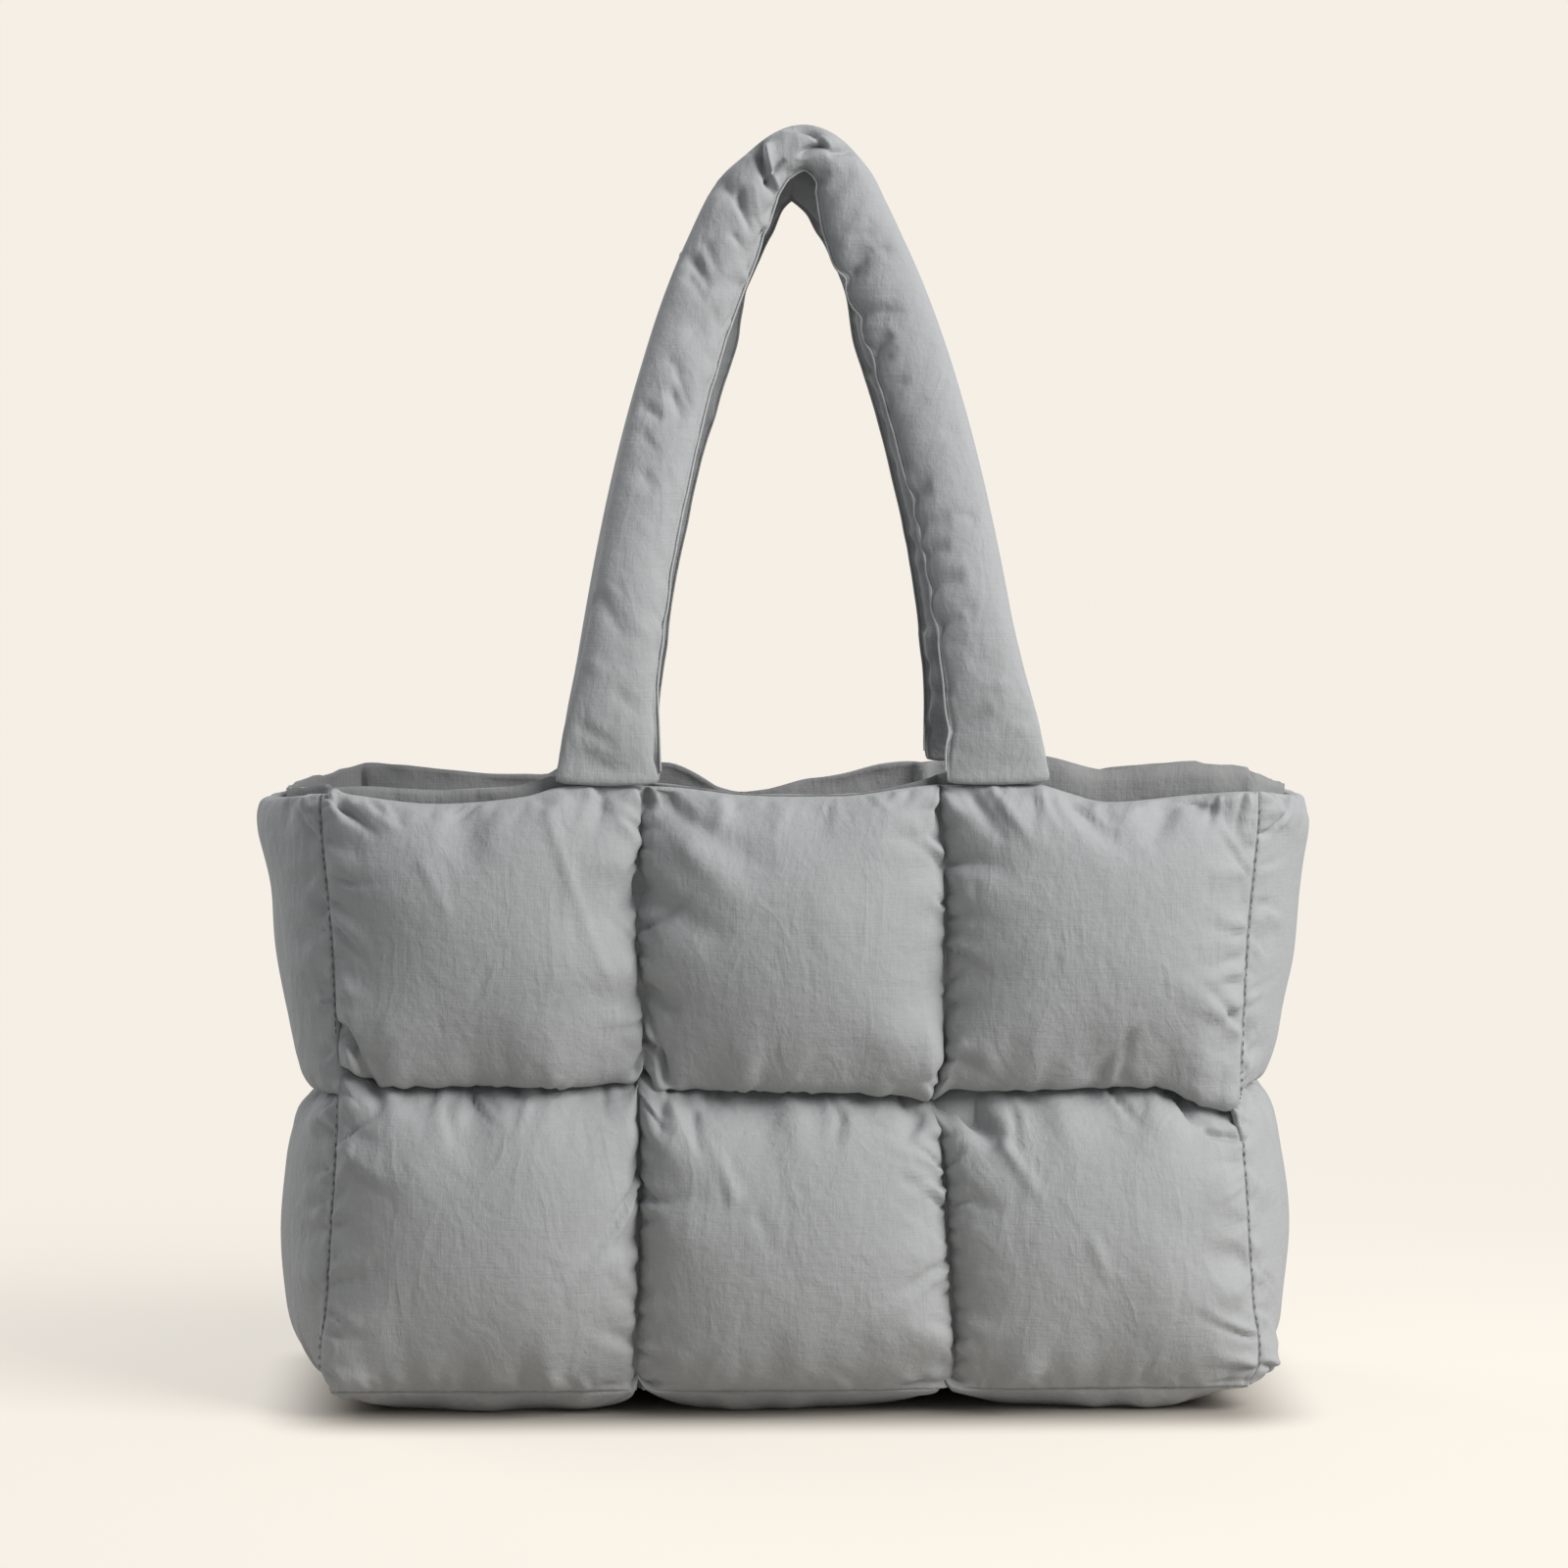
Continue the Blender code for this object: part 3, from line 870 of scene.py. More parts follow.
    def column_stray(self, across: Array, up: Array) -> Array:
        """How far the seams that run up the panel take the cloth beside them across, as a share."""
        stray = np.zeros_like(across)
        for number, table in enumerate(self.column_drifts):
            near = np.clip(1 - np.abs(across * self.columns - number - 1), 0, 1)
            stray += read_table(table, "stray", up) * ease(near) / self.cut_size[0]
        return stray

    def inner_seam_distances(self, across: Array, up: Array) -> tuple[Array, Array]:
        """Signed distances from the nearest seam between columns, and from the seam between the rows."""
        width, height = self.cut_size
        seam = np.clip(np.rint(across * self.columns), 1, max(self.columns - 1, 1))
        far = np.ones_like(across)
        from_column = (across - seam / self.columns) * width if self.columns > 1 else far
        from_row = (up - OUTLINE.row_seam_share) * height if self.rows > 1 else far
        return from_column, from_row

    def tuck_depth(self, across: Array, up: Array) -> Array:
        """How far the seams inside the panel are drawn in."""
        from_column, from_row = self.inner_seam_distances(across, up)
        column = self.column_tuck * np.exp(-np.abs(from_column) / self.column_reach)
        row_reach = np.where(from_row > 0, self.reach_above, self.reach_below)
        return np.maximum(column, self.tuck * np.exp(-np.abs(from_row) / row_reach))

    def crown(self, share: Array) -> Array:
        """A puff's profile between two seams: steep by the seams and nearly flat in the middle."""
        profile = np.clip(1 - np.abs(2 * share - 1) ** self.crown_flatness, 0, None)
        return profile**self.crown_edge

    def first_wrinkles(self, across: Array, up: Array) -> Array:
        """Small waves along the seams, which the cloth settles into."""
        width, height = self.cut_size
        to_column, to_row = self.seam_distances(across, up)
        x, z = across * width, up * height
        waves = np.zeros_like(across)
        for order, wrinkle in enumerate(SEAM_WRINKLES):
            beside_column = Ripple(self.seed + 2 * order, wrinkle.spacing).over(z, x * wrinkle.straightness)
            beside_row = Ripple(self.seed + 2 * order + 1, wrinkle.spacing).over(x, z * wrinkle.straightness)
            waves += wrinkle.height * beside_column * np.exp(-to_column / wrinkle.reach)
            waves += wrinkle.height * beside_row * np.exp(-to_row / wrinkle.reach)
        held = np.minimum(to_column, to_row)
        return waves * self.wrinkling * (1 - np.exp(-held / self.calm_reach))

    def build_cloth(self, bench: ClothBench) -> None:
        """Makes the outer cloth and lays it on the bench."""
        mesh = bmesh.new()
        mesh.loops.layers.uv.new("cloth")
        columns, rows = self.columns * self.steps, self.rows * self.steps
        bmesh.ops.create_grid(mesh, x_segments=columns, y_segments=rows, size=0.5, calc_uvs=True)
        outward, right, upward = self.directions
        if np.cross(right, upward) @ outward < 0:
            bmesh.ops.reverse_faces(mesh, faces=mesh.faces)
        self.piece = new_piece(f"{self.name}_cloth", mesh)
        flat = read_points(self.piece.data)
        column, row = np.rint((flat[:, 0] + 0.5) * columns), np.rint((flat[:, 1] + 0.5) * rows)
        across, up = self.places(column, row, self.steps)
        keep_layer(self.piece.data, "across", across)
        keep_layer(self.piece.data, "up", up)
        keep_layer(self.piece.data, "outer", np.ones_like(up))
        held = (column % self.steps == 0) | (row % self.steps == 0)
        away = -outward * self.bench_offset
        sewn = self.sewn(across, up)
        grown = (sewn @ right * self.growth_across)[:, None] * right
        grown = grown + (sewn @ upward * self.growth_up)[:, None] * upward
        cut = grown + (sewn @ outward)[:, None] * outward + away
        start = self.layer(across, up, True) + away
        bench.lay(self.piece, start, cut, held, self.filling)

    def places(self, column: Array, row: Array, steps: int) -> tuple[Array, Array]:
        """Shares across and up the panel at the steps of a grid."""
        seams = self.row_seams()
        cell = np.clip(row // steps, 0, self.rows - 1).astype(int)
        up = blend(seams[cell], seams[cell + 1], self.crowd(row / steps - cell))
        cell = np.clip(column // steps, 0, self.columns - 1)
        return (cell + self.crowd(column / steps - cell)) / self.columns, up

    def crowd(self, share: Array) -> Array:
        """Moves even steps across a puff closer together by its seams."""
        return share - self.crowding * np.sin(math.tau * share) / math.tau

    def close(self) -> None:
        """Takes the cloth off the bench, adds the inner layer and joins the two round their borders."""
        away = -self.directions[0] * self.bench_offset
        write_points(self.piece.data, read_points(self.piece.data) - away)
        mesh = bmesh.new()
        mesh.from_mesh(self.piece.data)
        steps = self.steps // 2
        columns, rows = self.columns * steps, self.rows * steps
        made = bmesh.ops.create_grid(mesh, x_segments=columns, y_segments=rows, size=0.5, calc_uvs=True)
        inner = made["verts"]
        flat = np.array([vertex.co[:] for vertex in inner])
        column, row = np.rint((flat[:, 0] + 0.5) * columns), np.rint((flat[:, 1] + 0.5) * rows)
        across, up = self.places(column, row, steps)
        layers = mesh.verts.layers.float
        for vertex, point, a, u in zip(inner, self.layer(across, up, False), across, up):
            vertex.co = point
            vertex[layers["across"]] = a
            vertex[layers["up"]] = u
        bmesh.ops.bridge_loops(mesh, edges=[edge for edge in mesh.edges if edge.is_boundary])
        bmesh.ops.recalc_face_normals(mesh, faces=mesh.faces)
        mesh.to_mesh(self.piece.data)
        mesh.free()
        apply_subdivision(self.piece)

    def pleat_depths(self, across: Array, up: Array) -> Array:
        """How deep the pleats along all the panel's seams press the cloth in."""
        width, height = self.cut_size
        x, z = across * width, up * height
        depth = np.zeros_like(across)
        seams = [(number * width / self.columns, True) for number in range(self.columns + 1)]
        seams += [(share * height, False) for share in self.row_seams()]
        for number, (place, upright) in enumerate(seams):
            across_seam, along, length = (x, z, height) if upright else (z, x, width)
            for side in (-1, 1):
                away = (across_seam - place) * side
                near = (away >= 0) & (away < self.pleats.longest)
                seed = self.seed * PANEL_SEEDS + number * 2 + (side > 0)
                share = self.pleat_share if not upright and side > 0 else 1.0
                depth[near] += share * self.pleats.depths(seed, away[near], along[near], length)
        return depth

    def settle(self, across: Array, up: Array) -> Array:
        """How the puffs lean over the seams inside the panel: down over the row seam, and rightwards."""
        _, right, upward = self.directions
        from_column, from_row = self.inner_seam_distances(across, up)
        down = hump(from_row / self.bulge_reach) + self.sag_below * hump(-from_row / self.bulge_reach)
        past_column = from_column / self.bulge_reach
        aside = hump(-past_column) - self.lean_beyond * hump(past_column)
        inside = 1 - np.exp(-np.minimum(np.abs(from_column), 1) / self.crossing_reach)
        down *= self.sag * blend(self.crossing_sag, 1, inside)
        aside *= self.lean
        return aside[:, None] * right - down[:, None] * upward

    def dress(self) -> None:
        data = self.piece.data
        across, up, outer = (read_layer(data, name) for name in ("across", "up", "outer"))
        width, height = self.cut_size
        depth = self.pleat_depths(across, up)
        for fold in self.folds:
            start = np.array([fold.from_across * width, fold.from_up * height])
            run = np.array([fold.to_across * width, fold.to_up * height]) - start
            place = np.stack([across * width, up * height], axis=1) - start
            along = np.clip(place @ run / (run @ run), 0, 1)
            away = np.linalg.norm(place - along[:, None] * run, axis=1) / fold.width
            depth += self.fold_strength * fold.depth * np.exp(-(away**2)) * (1 - along**2)
        points = read_points(data) - read_normals(data) * (depth * outer)[:, None]
        points += self.settle(across, up) * outer[:, None]
        points[:, 2] = np.maximum(points[:, 2], 0)
        write_points(data, points)
        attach(self.piece, BODY)
        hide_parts(self.name)


@dataclass
class PaddedHandle:
    """A padded tube that arches from one foot to the other, sewn along its inner edge.

    Each range holds the two shares between which a change comes in.
    """

    edge: Edge
    span: float = 0.1548
    rise: float = 0.2505
    offset: float = 0.0045
    top_shift: float = 0.0012
    width: float = 0.0315
    depth: float = 0.034
    foot_clearance: float = 0.0008
    back_drop: float = 0.007
    arch_power: float = 1.45
    arch_round: float = 0.61
    foot_lift: float = 0.0026
    slimming: tuple[float, float] = (0.0, 0.0)
    slim_range: tuple[float, float] = (0.04, 0.20)
    leg_range: tuple[float, float] = (0.4, 0.6)
    top_slimming: float = 0.0
    top_range: tuple[float, float] = (0.88, 1.0)
    drawn_in: float = 0.0
    draw_range: tuple[float, float] = (0.02, 0.25)
    let_out_range: tuple[float, float] = (0.80, 0.97)
    top_skew: float = 0.0
    skew_range: tuple[float, float] = (0.90, 1.0)
    facing_rise: float = 0.0035
    seam_thickness: float = 0.003
    rings: int = 240
    sides: int = 40
    path_steps: int = 720
    top_crowding: float = 0.55
    growth_along: float = 1.005
    growth_round: float = 0.90
    filling: Filling = Filling(500.0)
    wrinkle_slant: float = 0.5
    calm_range: tuple[float, float] = (-0.3, 0.6)
    seam_turn: float = 0.16
    seam_ridge: float = 0.0009
    ridge_reach: float = 0.0008
    seam_groove: float = 0.0006
    groove_place: float = 0.0022
    groove_reach: float = 0.0011
    seam_margin: float = 0.004
    end_reach: float = 0.008
    flatness: float = 0.50
    pleats: Pleats = Pleats(0.014, 0.007, 0.026, 0.0019, 0.0016, 0.60)
    hidden_pleats: float = 0.3
    creases: tuple = ()
    crease_sharpness: float = 1.5
    crease_fade: float = 3
    seed: int = 40
    piece: bpy.types.Object = None

    @property
    def name(self) -> str:
        """The node that the handle stands for."""
        return "front_handle" if self.edge is Edge.FRONT else "back_handle"

    def half_depth(self, along: Array) -> Array:
        """Half the handle's depth at shares of its half length from its foot."""
        return self.depth / 2 * read_table(HANDLE_SECTIONS, "depth", along)

    def foot_depth(self, end: int) -> float:
        """How far from the bag's middle the left (end -1) or right (end 1) foot stands."""
        top = np.ones(1)
        width = OUTLINE.width * OUTLINE.level("front_width" if self.edge is Edge.FRONT else "back_width", top)
        across = 0.5 + (self.offset + end * self.span / 2) / width
        beside_facing = self.half_depth(np.array([(self.facing_rise + GAP) / self.rise]))
        set_out = beside_facing - self.seam_thickness / 2 + self.foot_clearance
        return float(abs(OUTLINE.face(self.edge, across, top)[0, 1]) + set_out[0])

    def path(self) -> tuple[Array, Array, Array]:
        """The handle's middle line from its left foot to its right.

        Returns:
            Its points, its directions, and how far along the handle each point lies.
        """
        side = -1 if self.edge is Edge.FRONT else 1
        turn = math.pi * np.arange(self.path_steps + 1) / self.path_steps
        up = np.maximum(np.sin(turn), 0) ** (2 / self.arch_power)
        end = np.where(np.cos(turn) > 0, -1, 1)
        across = end * np.abs(np.cos(turn)) ** (2 * self.arch_round)
        lean = ease(up)
        foot = np.where(end < 0, self.foot_depth(-1), self.foot_depth(1))
        top_depth = float(self.half_depth(np.ones(1))[0]) + GAP / 2
        rise = self.rise - (self.back_drop if side > 0 else 0)
        foot_height = OUTLINE.base_seam_height + OUTLINE.height + GAP + self.foot_lift
        x = self.offset - self.top_shift * up + self.span / 2 * across
        x += self.top_skew * smooth_step(*self.skew_range, up)
        points = np.stack([x, side * blend(foot, top_depth, lean), foot_height + rise * up], axis=1)
        lengths = route_places(points)
        share = np.arange(self.rings + 1) / self.rings
        places = lengths[-1] * (share + self.top_crowding * np.sin(math.tau * share) / math.tau)
        points = read_route(points, lengths, places)
        directions = unit_rows(np.gradient(points, axis=0))
        directions[0], directions[-1] = (0, 0, 1), (0, 0, -1)
        return points, directions, places

    def sections(self, places: Array) -> tuple[Array, Array, Array]:
        """The handle's sections at places along its whole length.

        Args:
            places: How far along the handle they lie.

        Returns:
            Half their width, half their depth, and how far outside the middle line they are set.
        """
        length = places[-1]
        alongs = 2 * np.minimum(places, length - places) / length
        slim = blend(*self.slimming, smooth_step(*self.leg_range, places / length))
        slim = slim / 2 * smooth_step(*self.slim_range, alongs)
        slim += self.top_slimming / 2 * smooth_step(*self.top_range, alongs)
        inward = self.drawn_in * smooth_step(*self.draw_range, alongs)
        inward *= 1 - smooth_step(*self.let_out_range, alongs)
        half_width = self.width / 2 * read_table(HANDLE_SECTIONS, "width", alongs) - slim
        return half_width, self.half_depth(alongs), slim - inward

    def wrinkles(self, along: Array, around: Array) -> Array:
        """Small slanting waves, which the cloth settles into."""
        slanted = along + np.abs(around) * self.wrinkle_slant
        waves = np.zeros_like(around)
        for order, wrinkle in enumerate(HANDLE_WRINKLES):
            ripple = Ripple(self.seed + order, wrinkle.spacing)
            waves += wrinkle.height * ripple.over(slanted, around * wrinkle.straightness)
        return waves

    def build_cloth(self, bench: ClothBench) -> None:
        """Makes the tube and lays it on the bench."""
        mesh = bmesh.new()
        mesh.loops.layers.uv.new("cloth")
        ringed_tube(mesh, self.sides, self.rings, True)
        self.piece = new_piece(f"{self.name}_cloth", mesh)
        unit = read_points(self.piece.data)
        points, directions, places = self.path()
        ring = np.rint(unit[:, 2] + self.rings / 2).astype(int)
        half_width, half_depth, set_out = (values[ring] for values in self.sections(places))
        points, directions, along = points[ring], directions[ring], places[ring]
        across = unit_rows(np.cross(np.array([0, -1, 0]), directions))
        deep = np.cross(directions, across)
        start = points + across * (half_width * unit[:, 0] + set_out)[:, None]
        start += deep * (half_depth * unit[:, 1])[:, None]
        cut = np.stack([
            half_width * unit[:, 0] * self.growth_round,
            half_depth * unit[:, 1] * self.growth_round,
            (along - places[-1] / 2) * self.growth_along,
        ], axis=1)
        front = np.where(deep[:, 1] * unit[:, 1] + across[:, 1] * unit[:, 0] < 0, 1, -1)
        turn = np.arctan2(np.abs(unit[:, 1]) * front, -unit[:, 0])
        from_seam = (turn - self.seam_turn + math.pi) % math.tau - math.pi
        held = (np.abs(from_seam) < math.pi / self.sides) | (ring <= 1) | (ring >= self.rings - 1)
        around = from_seam * self.width / 2
        layers = {"along": along, "across": unit[:, 0], "around": around, "face": front}
        for name, values in layers.items():
            keep_layer(self.piece.data, name, values)
        waves = self.wrinkles(along, around) * ~held * (1 - smooth_step(*self.calm_range, unit[:, 0]))
        start += unit_rows(start - points) * waves[:, None]
        bench.lay(self.piece, start, cut, held, self.filling)

    def pleat_depths(self, along: Array, around: Array) -> Array:
        """How deep the pleats along the handle's seam press the cloth in, less on its hidden side."""
        depth = np.zeros_like(along)
        for side, strength in ((-1, self.hidden_pleats), (1, 1.0)):
            near = around * side >= 0
            seed = self.seed * HANDLE_SEEDS + side
            away = np.abs(around[near])
            depth[near] += strength * self.pleats.depths(seed, away, along[near], float(along.max()))
        return depth

    def crease_depths(self, along: Array, across: Array) -> Array:
        """How deep the creases on the handle's outer side press the cloth in."""
        size = np.array([float(along.max()), self.width / 2])
        place = np.stack([along, across * self.width / 2], axis=1)
        depth = np.zeros_like(along)
        for crease in self.creases:
            start = np.array([crease.from_along, crease.from_across]) * size
            run = np.array([crease.to_along, crease.to_across]) * size - start
            share = np.clip((place - start) @ run / (run @ run), 0, 1)
            away = np.linalg.norm(place - start - share[:, None] * run, axis=1) / crease.width
            fading = 1 - share**self.crease_fade
            depth += crease.depth * np.exp(-(away**self.crease_sharpness)) * fading
        return depth

    def dress(self) -> None:
        apply_subdivision(self.piece)
        data = self.piece.data
        layers = ("along", "across", "around", "face")
        along, across, around, face = (read_layer(data, name) for name in layers)
        forward = -1 if self.edge is Edge.FRONT else 1
        depth = self.pleat_depths(along, around) + self.crease_depths(along, across) * (face * forward < 0)
        ends = smooth_step(0, self.end_reach, along) * smooth_step(0, self.end_reach, along.max() - along)
        middles, _, places = self.path()
        points = read_points(data)
        outer = np.maximum((points[:, 1] - np.interp(along, places, middles[:, 1])) * forward, 0)
        points[:, 1] -= self.flatness * outer * ends * forward
        write_points(data, points)
        beside = (np.abs(around) - self.groove_place) / self.groove_reach
        ridge = self.seam_ridge * np.exp(-((around / self.ridge_reach) ** 2))
        ridge -= self.seam_groove * np.exp(-(beside**2))
        write_points(data, points + read_normals(data) * ((ridge - depth) * ends)[:, None])
        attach(self.piece, BODY)
        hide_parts(self.name)

    def seam_route(self) -> tuple[Array, Array]:
        """Points along the finished seam from the left foot, and the directions away from the cloth there."""
        data = self.piece.data
        along, around = read_layer(data, "along"), read_layer(data, "around")
        on_seam = np.abs(around) < math.pi / self.sides * self.width / 4
        order = np.nonzero(on_seam)[0][np.argsort(along[on_seam])]
        inside = (along[order] > self.seam_margin) & (along[order] < along.max() - self.seam_margin)
        order = order[inside]
        return read_points(data)[order], read_normals(data)[order]


@dataclass
class RimFacing:
    """The turned cloth band round the inside of the mouth.

    Above the seam it stands in free rows, and sways and ruffles where it is lifted high enough.
    """

    thickness: float = 0.0018
    height: float = 0.026
    rise: float = 0.0035
    corner_rise: float = 0.0050
    corner_reach: float = 0.2
    slack: float = 0.0014
    sway: Ripple = Ripple(71, 0.011)
    sway_depth: float = 0.0032
    front_sway_lift: float = 0.009
    sway_lift: float = 0.006
    ruffle: Ripple = Ripple(72, 0.017)
    ruffle_height: float = 0.0007
    ruffle_lift: float = 0.003
    rows: int = 12
    free_rows: int = 2
    face_stations: int = 120
    gusset_stations: int = 44
    length: float = 0.0
    piece: bpy.types.Object = None

    def build(self, panels: dict) -> None:
        """Makes the band along the panels' inner layers.

        Args:
            panels: The quilted panels by their edge.
        """
        faces = np.arange(1, self.face_stations) / self.face_stations
        sides = np.arange(1, self.gusset_stations) / self.gusset_stations
        walk = {Edge.FRONT: faces, Edge.RIGHT: sides, Edge.BACK: faces[::-1], Edge.LEFT: sides[::-1]}
        stations = [(edge.value, share) for edge, shares in walk.items() for share in shares]
        count = len(stations)
        mesh = bmesh.new()
        ringed_tube(mesh, count, self.rows, False)
        self.piece = new_piece("rim_facing_cloth", mesh)
        unit = read_points(self.piece.data)
        station = np.rint(np.arctan2(unit[:, 1], unit[:, 0]) / math.tau * count).astype(int) % count
        row = np.rint(self.rows / 2 - unit[:, 2]).astype(int)
        edges = np.array([stations[s][0] for s in station])
        share = np.array([stations[s][1] for s in station])
        on_front = edges == Edge.FRONT.value
        corner = self.corner_rise * np.exp(-share / self.corner_reach) * (edges == Edge.RIGHT.value)
        rise = np.where(on_front, read_table(FACING_RISE, "rise", share), self.rise + corner)
        lift = np.clip(1 - row / self.free_rows, 0, 1) * rise
        down = np.maximum(row - self.free_rows, 0) / (self.rows - self.free_rows)
        points = np.zeros_like(unit)
        for edge in walk:
            chosen = edges == edge.value
            up = 1 - down[chosen] * self.height / OUTLINE.height
            inner = panels[edge].layer(share[chosen], up, False)
            points[chosen] = inner - panels[edge].directions[0] * (GAP + self.slack + self.thickness / 2)
        points[:, 2] += lift
        reach = np.where(on_front, share, 2 + share) * OUTLINE.width
        swaying = np.clip(lift / np.where(on_front, self.front_sway_lift, self.sway_lift), 0, 1)
        points[:, 1] += self.sway.along(reach) * swaying * self.sway_depth
        ruffled = np.clip(lift / self.ruffle_lift, 0, 1)
        points[:, 2] += self.ruffle.along(reach) * ruffled * self.ruffle_height
        write_points(self.piece.data, points)
        wall = self.piece.modifiers.new("wall", "SOLIDIFY")
        wall.thickness = self.thickness
        wall.offset = 0
        ring = points[row == 0][np.argsort(station[row == 0])]
        self.length = float(np.linalg.norm(ring - np.roll(ring, 1, axis=0), axis=1).sum())

    def dress(self) -> None:
        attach(self.piece, BODY)
        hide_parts("rim_facing")
        flat = (self.length, self.height + self.rise)


@dataclass
class SeamWelt:
    """The thin turned edge of cloth that stands along a handle's seam."""

    name: str
    width: float = 0.0009
    height: float = 0.0010
    stand: float = 0.2
    sides: int = 6
    smoothing: int = 5
    piece: bpy.types.Object = None

    def build(self, route: Array, outward: Array) -> None:
        """Lays the welt along a route.

        Args:
            route: Points along the seam.
            outward: The direction away from the cloth at each.
        """
        count = len(route)
        mesh = bmesh.new()
        ringed_tube(mesh, self.sides, count - 1, True)
        self.piece = new_piece(self.name, mesh)
        unit = read_points(self.piece.data)
        ring = np.clip(np.rint(unit[:, 2] + (count - 1) / 2).astype(int), 0, count - 1)
        spare = self.smoothing // 2
        padded = np.pad(route, ((spare, spare), (0, 0)), mode="edge")
        kernel = np.ones(self.smoothing) / self.smoothing
        middle = np.stack([np.convolve(column, kernel, mode="valid") for column in padded.T], axis=1)
        forward = unit_rows(np.gradient(middle, axis=0))
        beside = unit_rows(np.cross(forward, outward))
        upward = np.cross(beside, forward)
        points = middle[ring] + beside[ring] * (unit[:, :1] * self.width / 2)
        points += upward[ring] * (unit[:, 1:2] * self.height / 2 + self.height * self.stand)
        write_points(self.piece.data, points)
        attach(self.piece, BODY)


@dataclass
class StitchRow:
    """A row of short stitches along a seam, each one a small flattened bead of thread."""

    name: str
    pitch: float = 0.0038
    unevenness: float = 0.08
    length: float = 0.0027
    length_range: tuple[float, float] = (0.55, 1.1)
    thickness: float = 0.00045
    breadth: float = 1.2
    sink: float = 0.6
    sides: int = 6
    rings: int = 4
    piece: bpy.types.Object = None

    def build(self, route: Array, outward: Array) -> None:
        """Lays the stitches along a route.

        Args:
            route: Points along the seam.
            outward: The direction that faces away from the cloth at each point.
        """
        places = route_places(route)
        count = int(places[-1] / self.pitch)
        centres = (np.arange(count) + 0.5) * places[-1] / count
        dice = np.random.default_rng(len(self.name))
        mesh = bmesh.new()
        for centre in centres + dice.normal(0, self.pitch * self.unevenness, count):
            length = self.length * dice.uniform(*self.length_range)
            ends = read_route(route, places, centre + np.array([-0.5, 0.5]) * length)
            along = Vector(ends[1] - ends[0]).normalized()
            beside = along.cross(Vector(read_route(outward, places, centre))).normalized()
            lift = beside.cross(along)
            turn = Matrix((along, beside, lift)).transposed().to_4x4()
            middle = Vector(ends.mean(axis=0)) + lift * self.thickness * (0.5 - self.sink)
            size = Matrix.Diagonal((length / 2, self.thickness * self.breadth / 2, self.thickness / 2, 1))
            bmesh.ops.create_uvsphere(
                mesh, u_segments=self.sides, v_segments=self.rings, radius=1,
                matrix=Matrix.Translation(middle) @ turn @ size,
            )
        self.piece = new_piece(self.name, mesh)
        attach(self.piece, BODY)


@dataclass(frozen=True)
class BorderSeam:
    """A side seam of the front panel, whose stitches face the direction given."""

    name: str
    across: float
    facing: tuple[float, float, float]
    lowest: float = 0.03
    highest: float = 0.975
    steps: int = 120

    def sew(self, panel: QuiltedPanel) -> StitchRow:
        """Stitches down the seam.

        Args:
            panel: The front panel.

        Returns:
            The row of stitches.
        """
        up = np.linspace(self.lowest, self.highest, self.steps)
        row = StitchRow(self.name)
        row.build(panel.layer(np.full_like(up, self.across), up, True), np.tile(self.facing, (len(up), 1)))
        return row


BORDER_SEAMS = (
    BorderSeam("left_seam_stitches", 0.0, (-0.5, -0.87, 0.0)),
    BorderSeam("right_seam_stitches", 1.0, (0.5, -0.87, 0.0)),
)


@dataclass(frozen=True)
class Thread:
    """Dark, slightly shiny sewing thread."""

    colour: tuple[float, float, float] = (0.10, 0.102, 0.105)
    roughness: float = 0.55
    twist_scale: float = 2500.0
    twist_depth: float = 0.0002

    def material(self) -> bpy.types.Material:
        """The thread's material, with its twist as a fine bump."""
        graph = ShaderGraph("sewing_thread")
        twist = graph.noise(graph.place(), self.twist_scale, 1.0)
        return graph.principled(graph.bump(twist, self.twist_depth), {
            "Base Color": (*self.colour, 1), "Roughness": self.roughness,
        })


class Socket:
    """A shader socket that takes part in Python expressions."""

    def __init__(self, graph: "ShaderGraph", link: bpy.types.NodeSocket) -> None:
        """Wraps a node's output."""
        self.graph = graph
        self.link = link

    def _math(self, operation: str, *values: object) -> "Socket":
        """Adds a Math node."""
        return self.graph.node("ShaderNodeMath", {"operation": operation}, dict(enumerate(values)))

    def __add__(self, other: object) -> "Socket":
        """Adds."""
        return self._math("ADD", self, other)

    __radd__ = __add__

    def __mul__(self, other: object) -> "Socket":
        """Multiplies."""
        return self._math("MULTIPLY", self, other)

    __rmul__ = __mul__

    def __sub__(self, other: object) -> "Socket":
        """Subtracts."""
        return self._math("SUBTRACT", self, other)

    def __rsub__(self, other: object) -> "Socket":
        """Subtracts from a number."""
        return self._math("SUBTRACT", other, self)

    def __abs__(self) -> "Socket":
        """The value without its sign."""
        return self._math("ABSOLUTE", self)


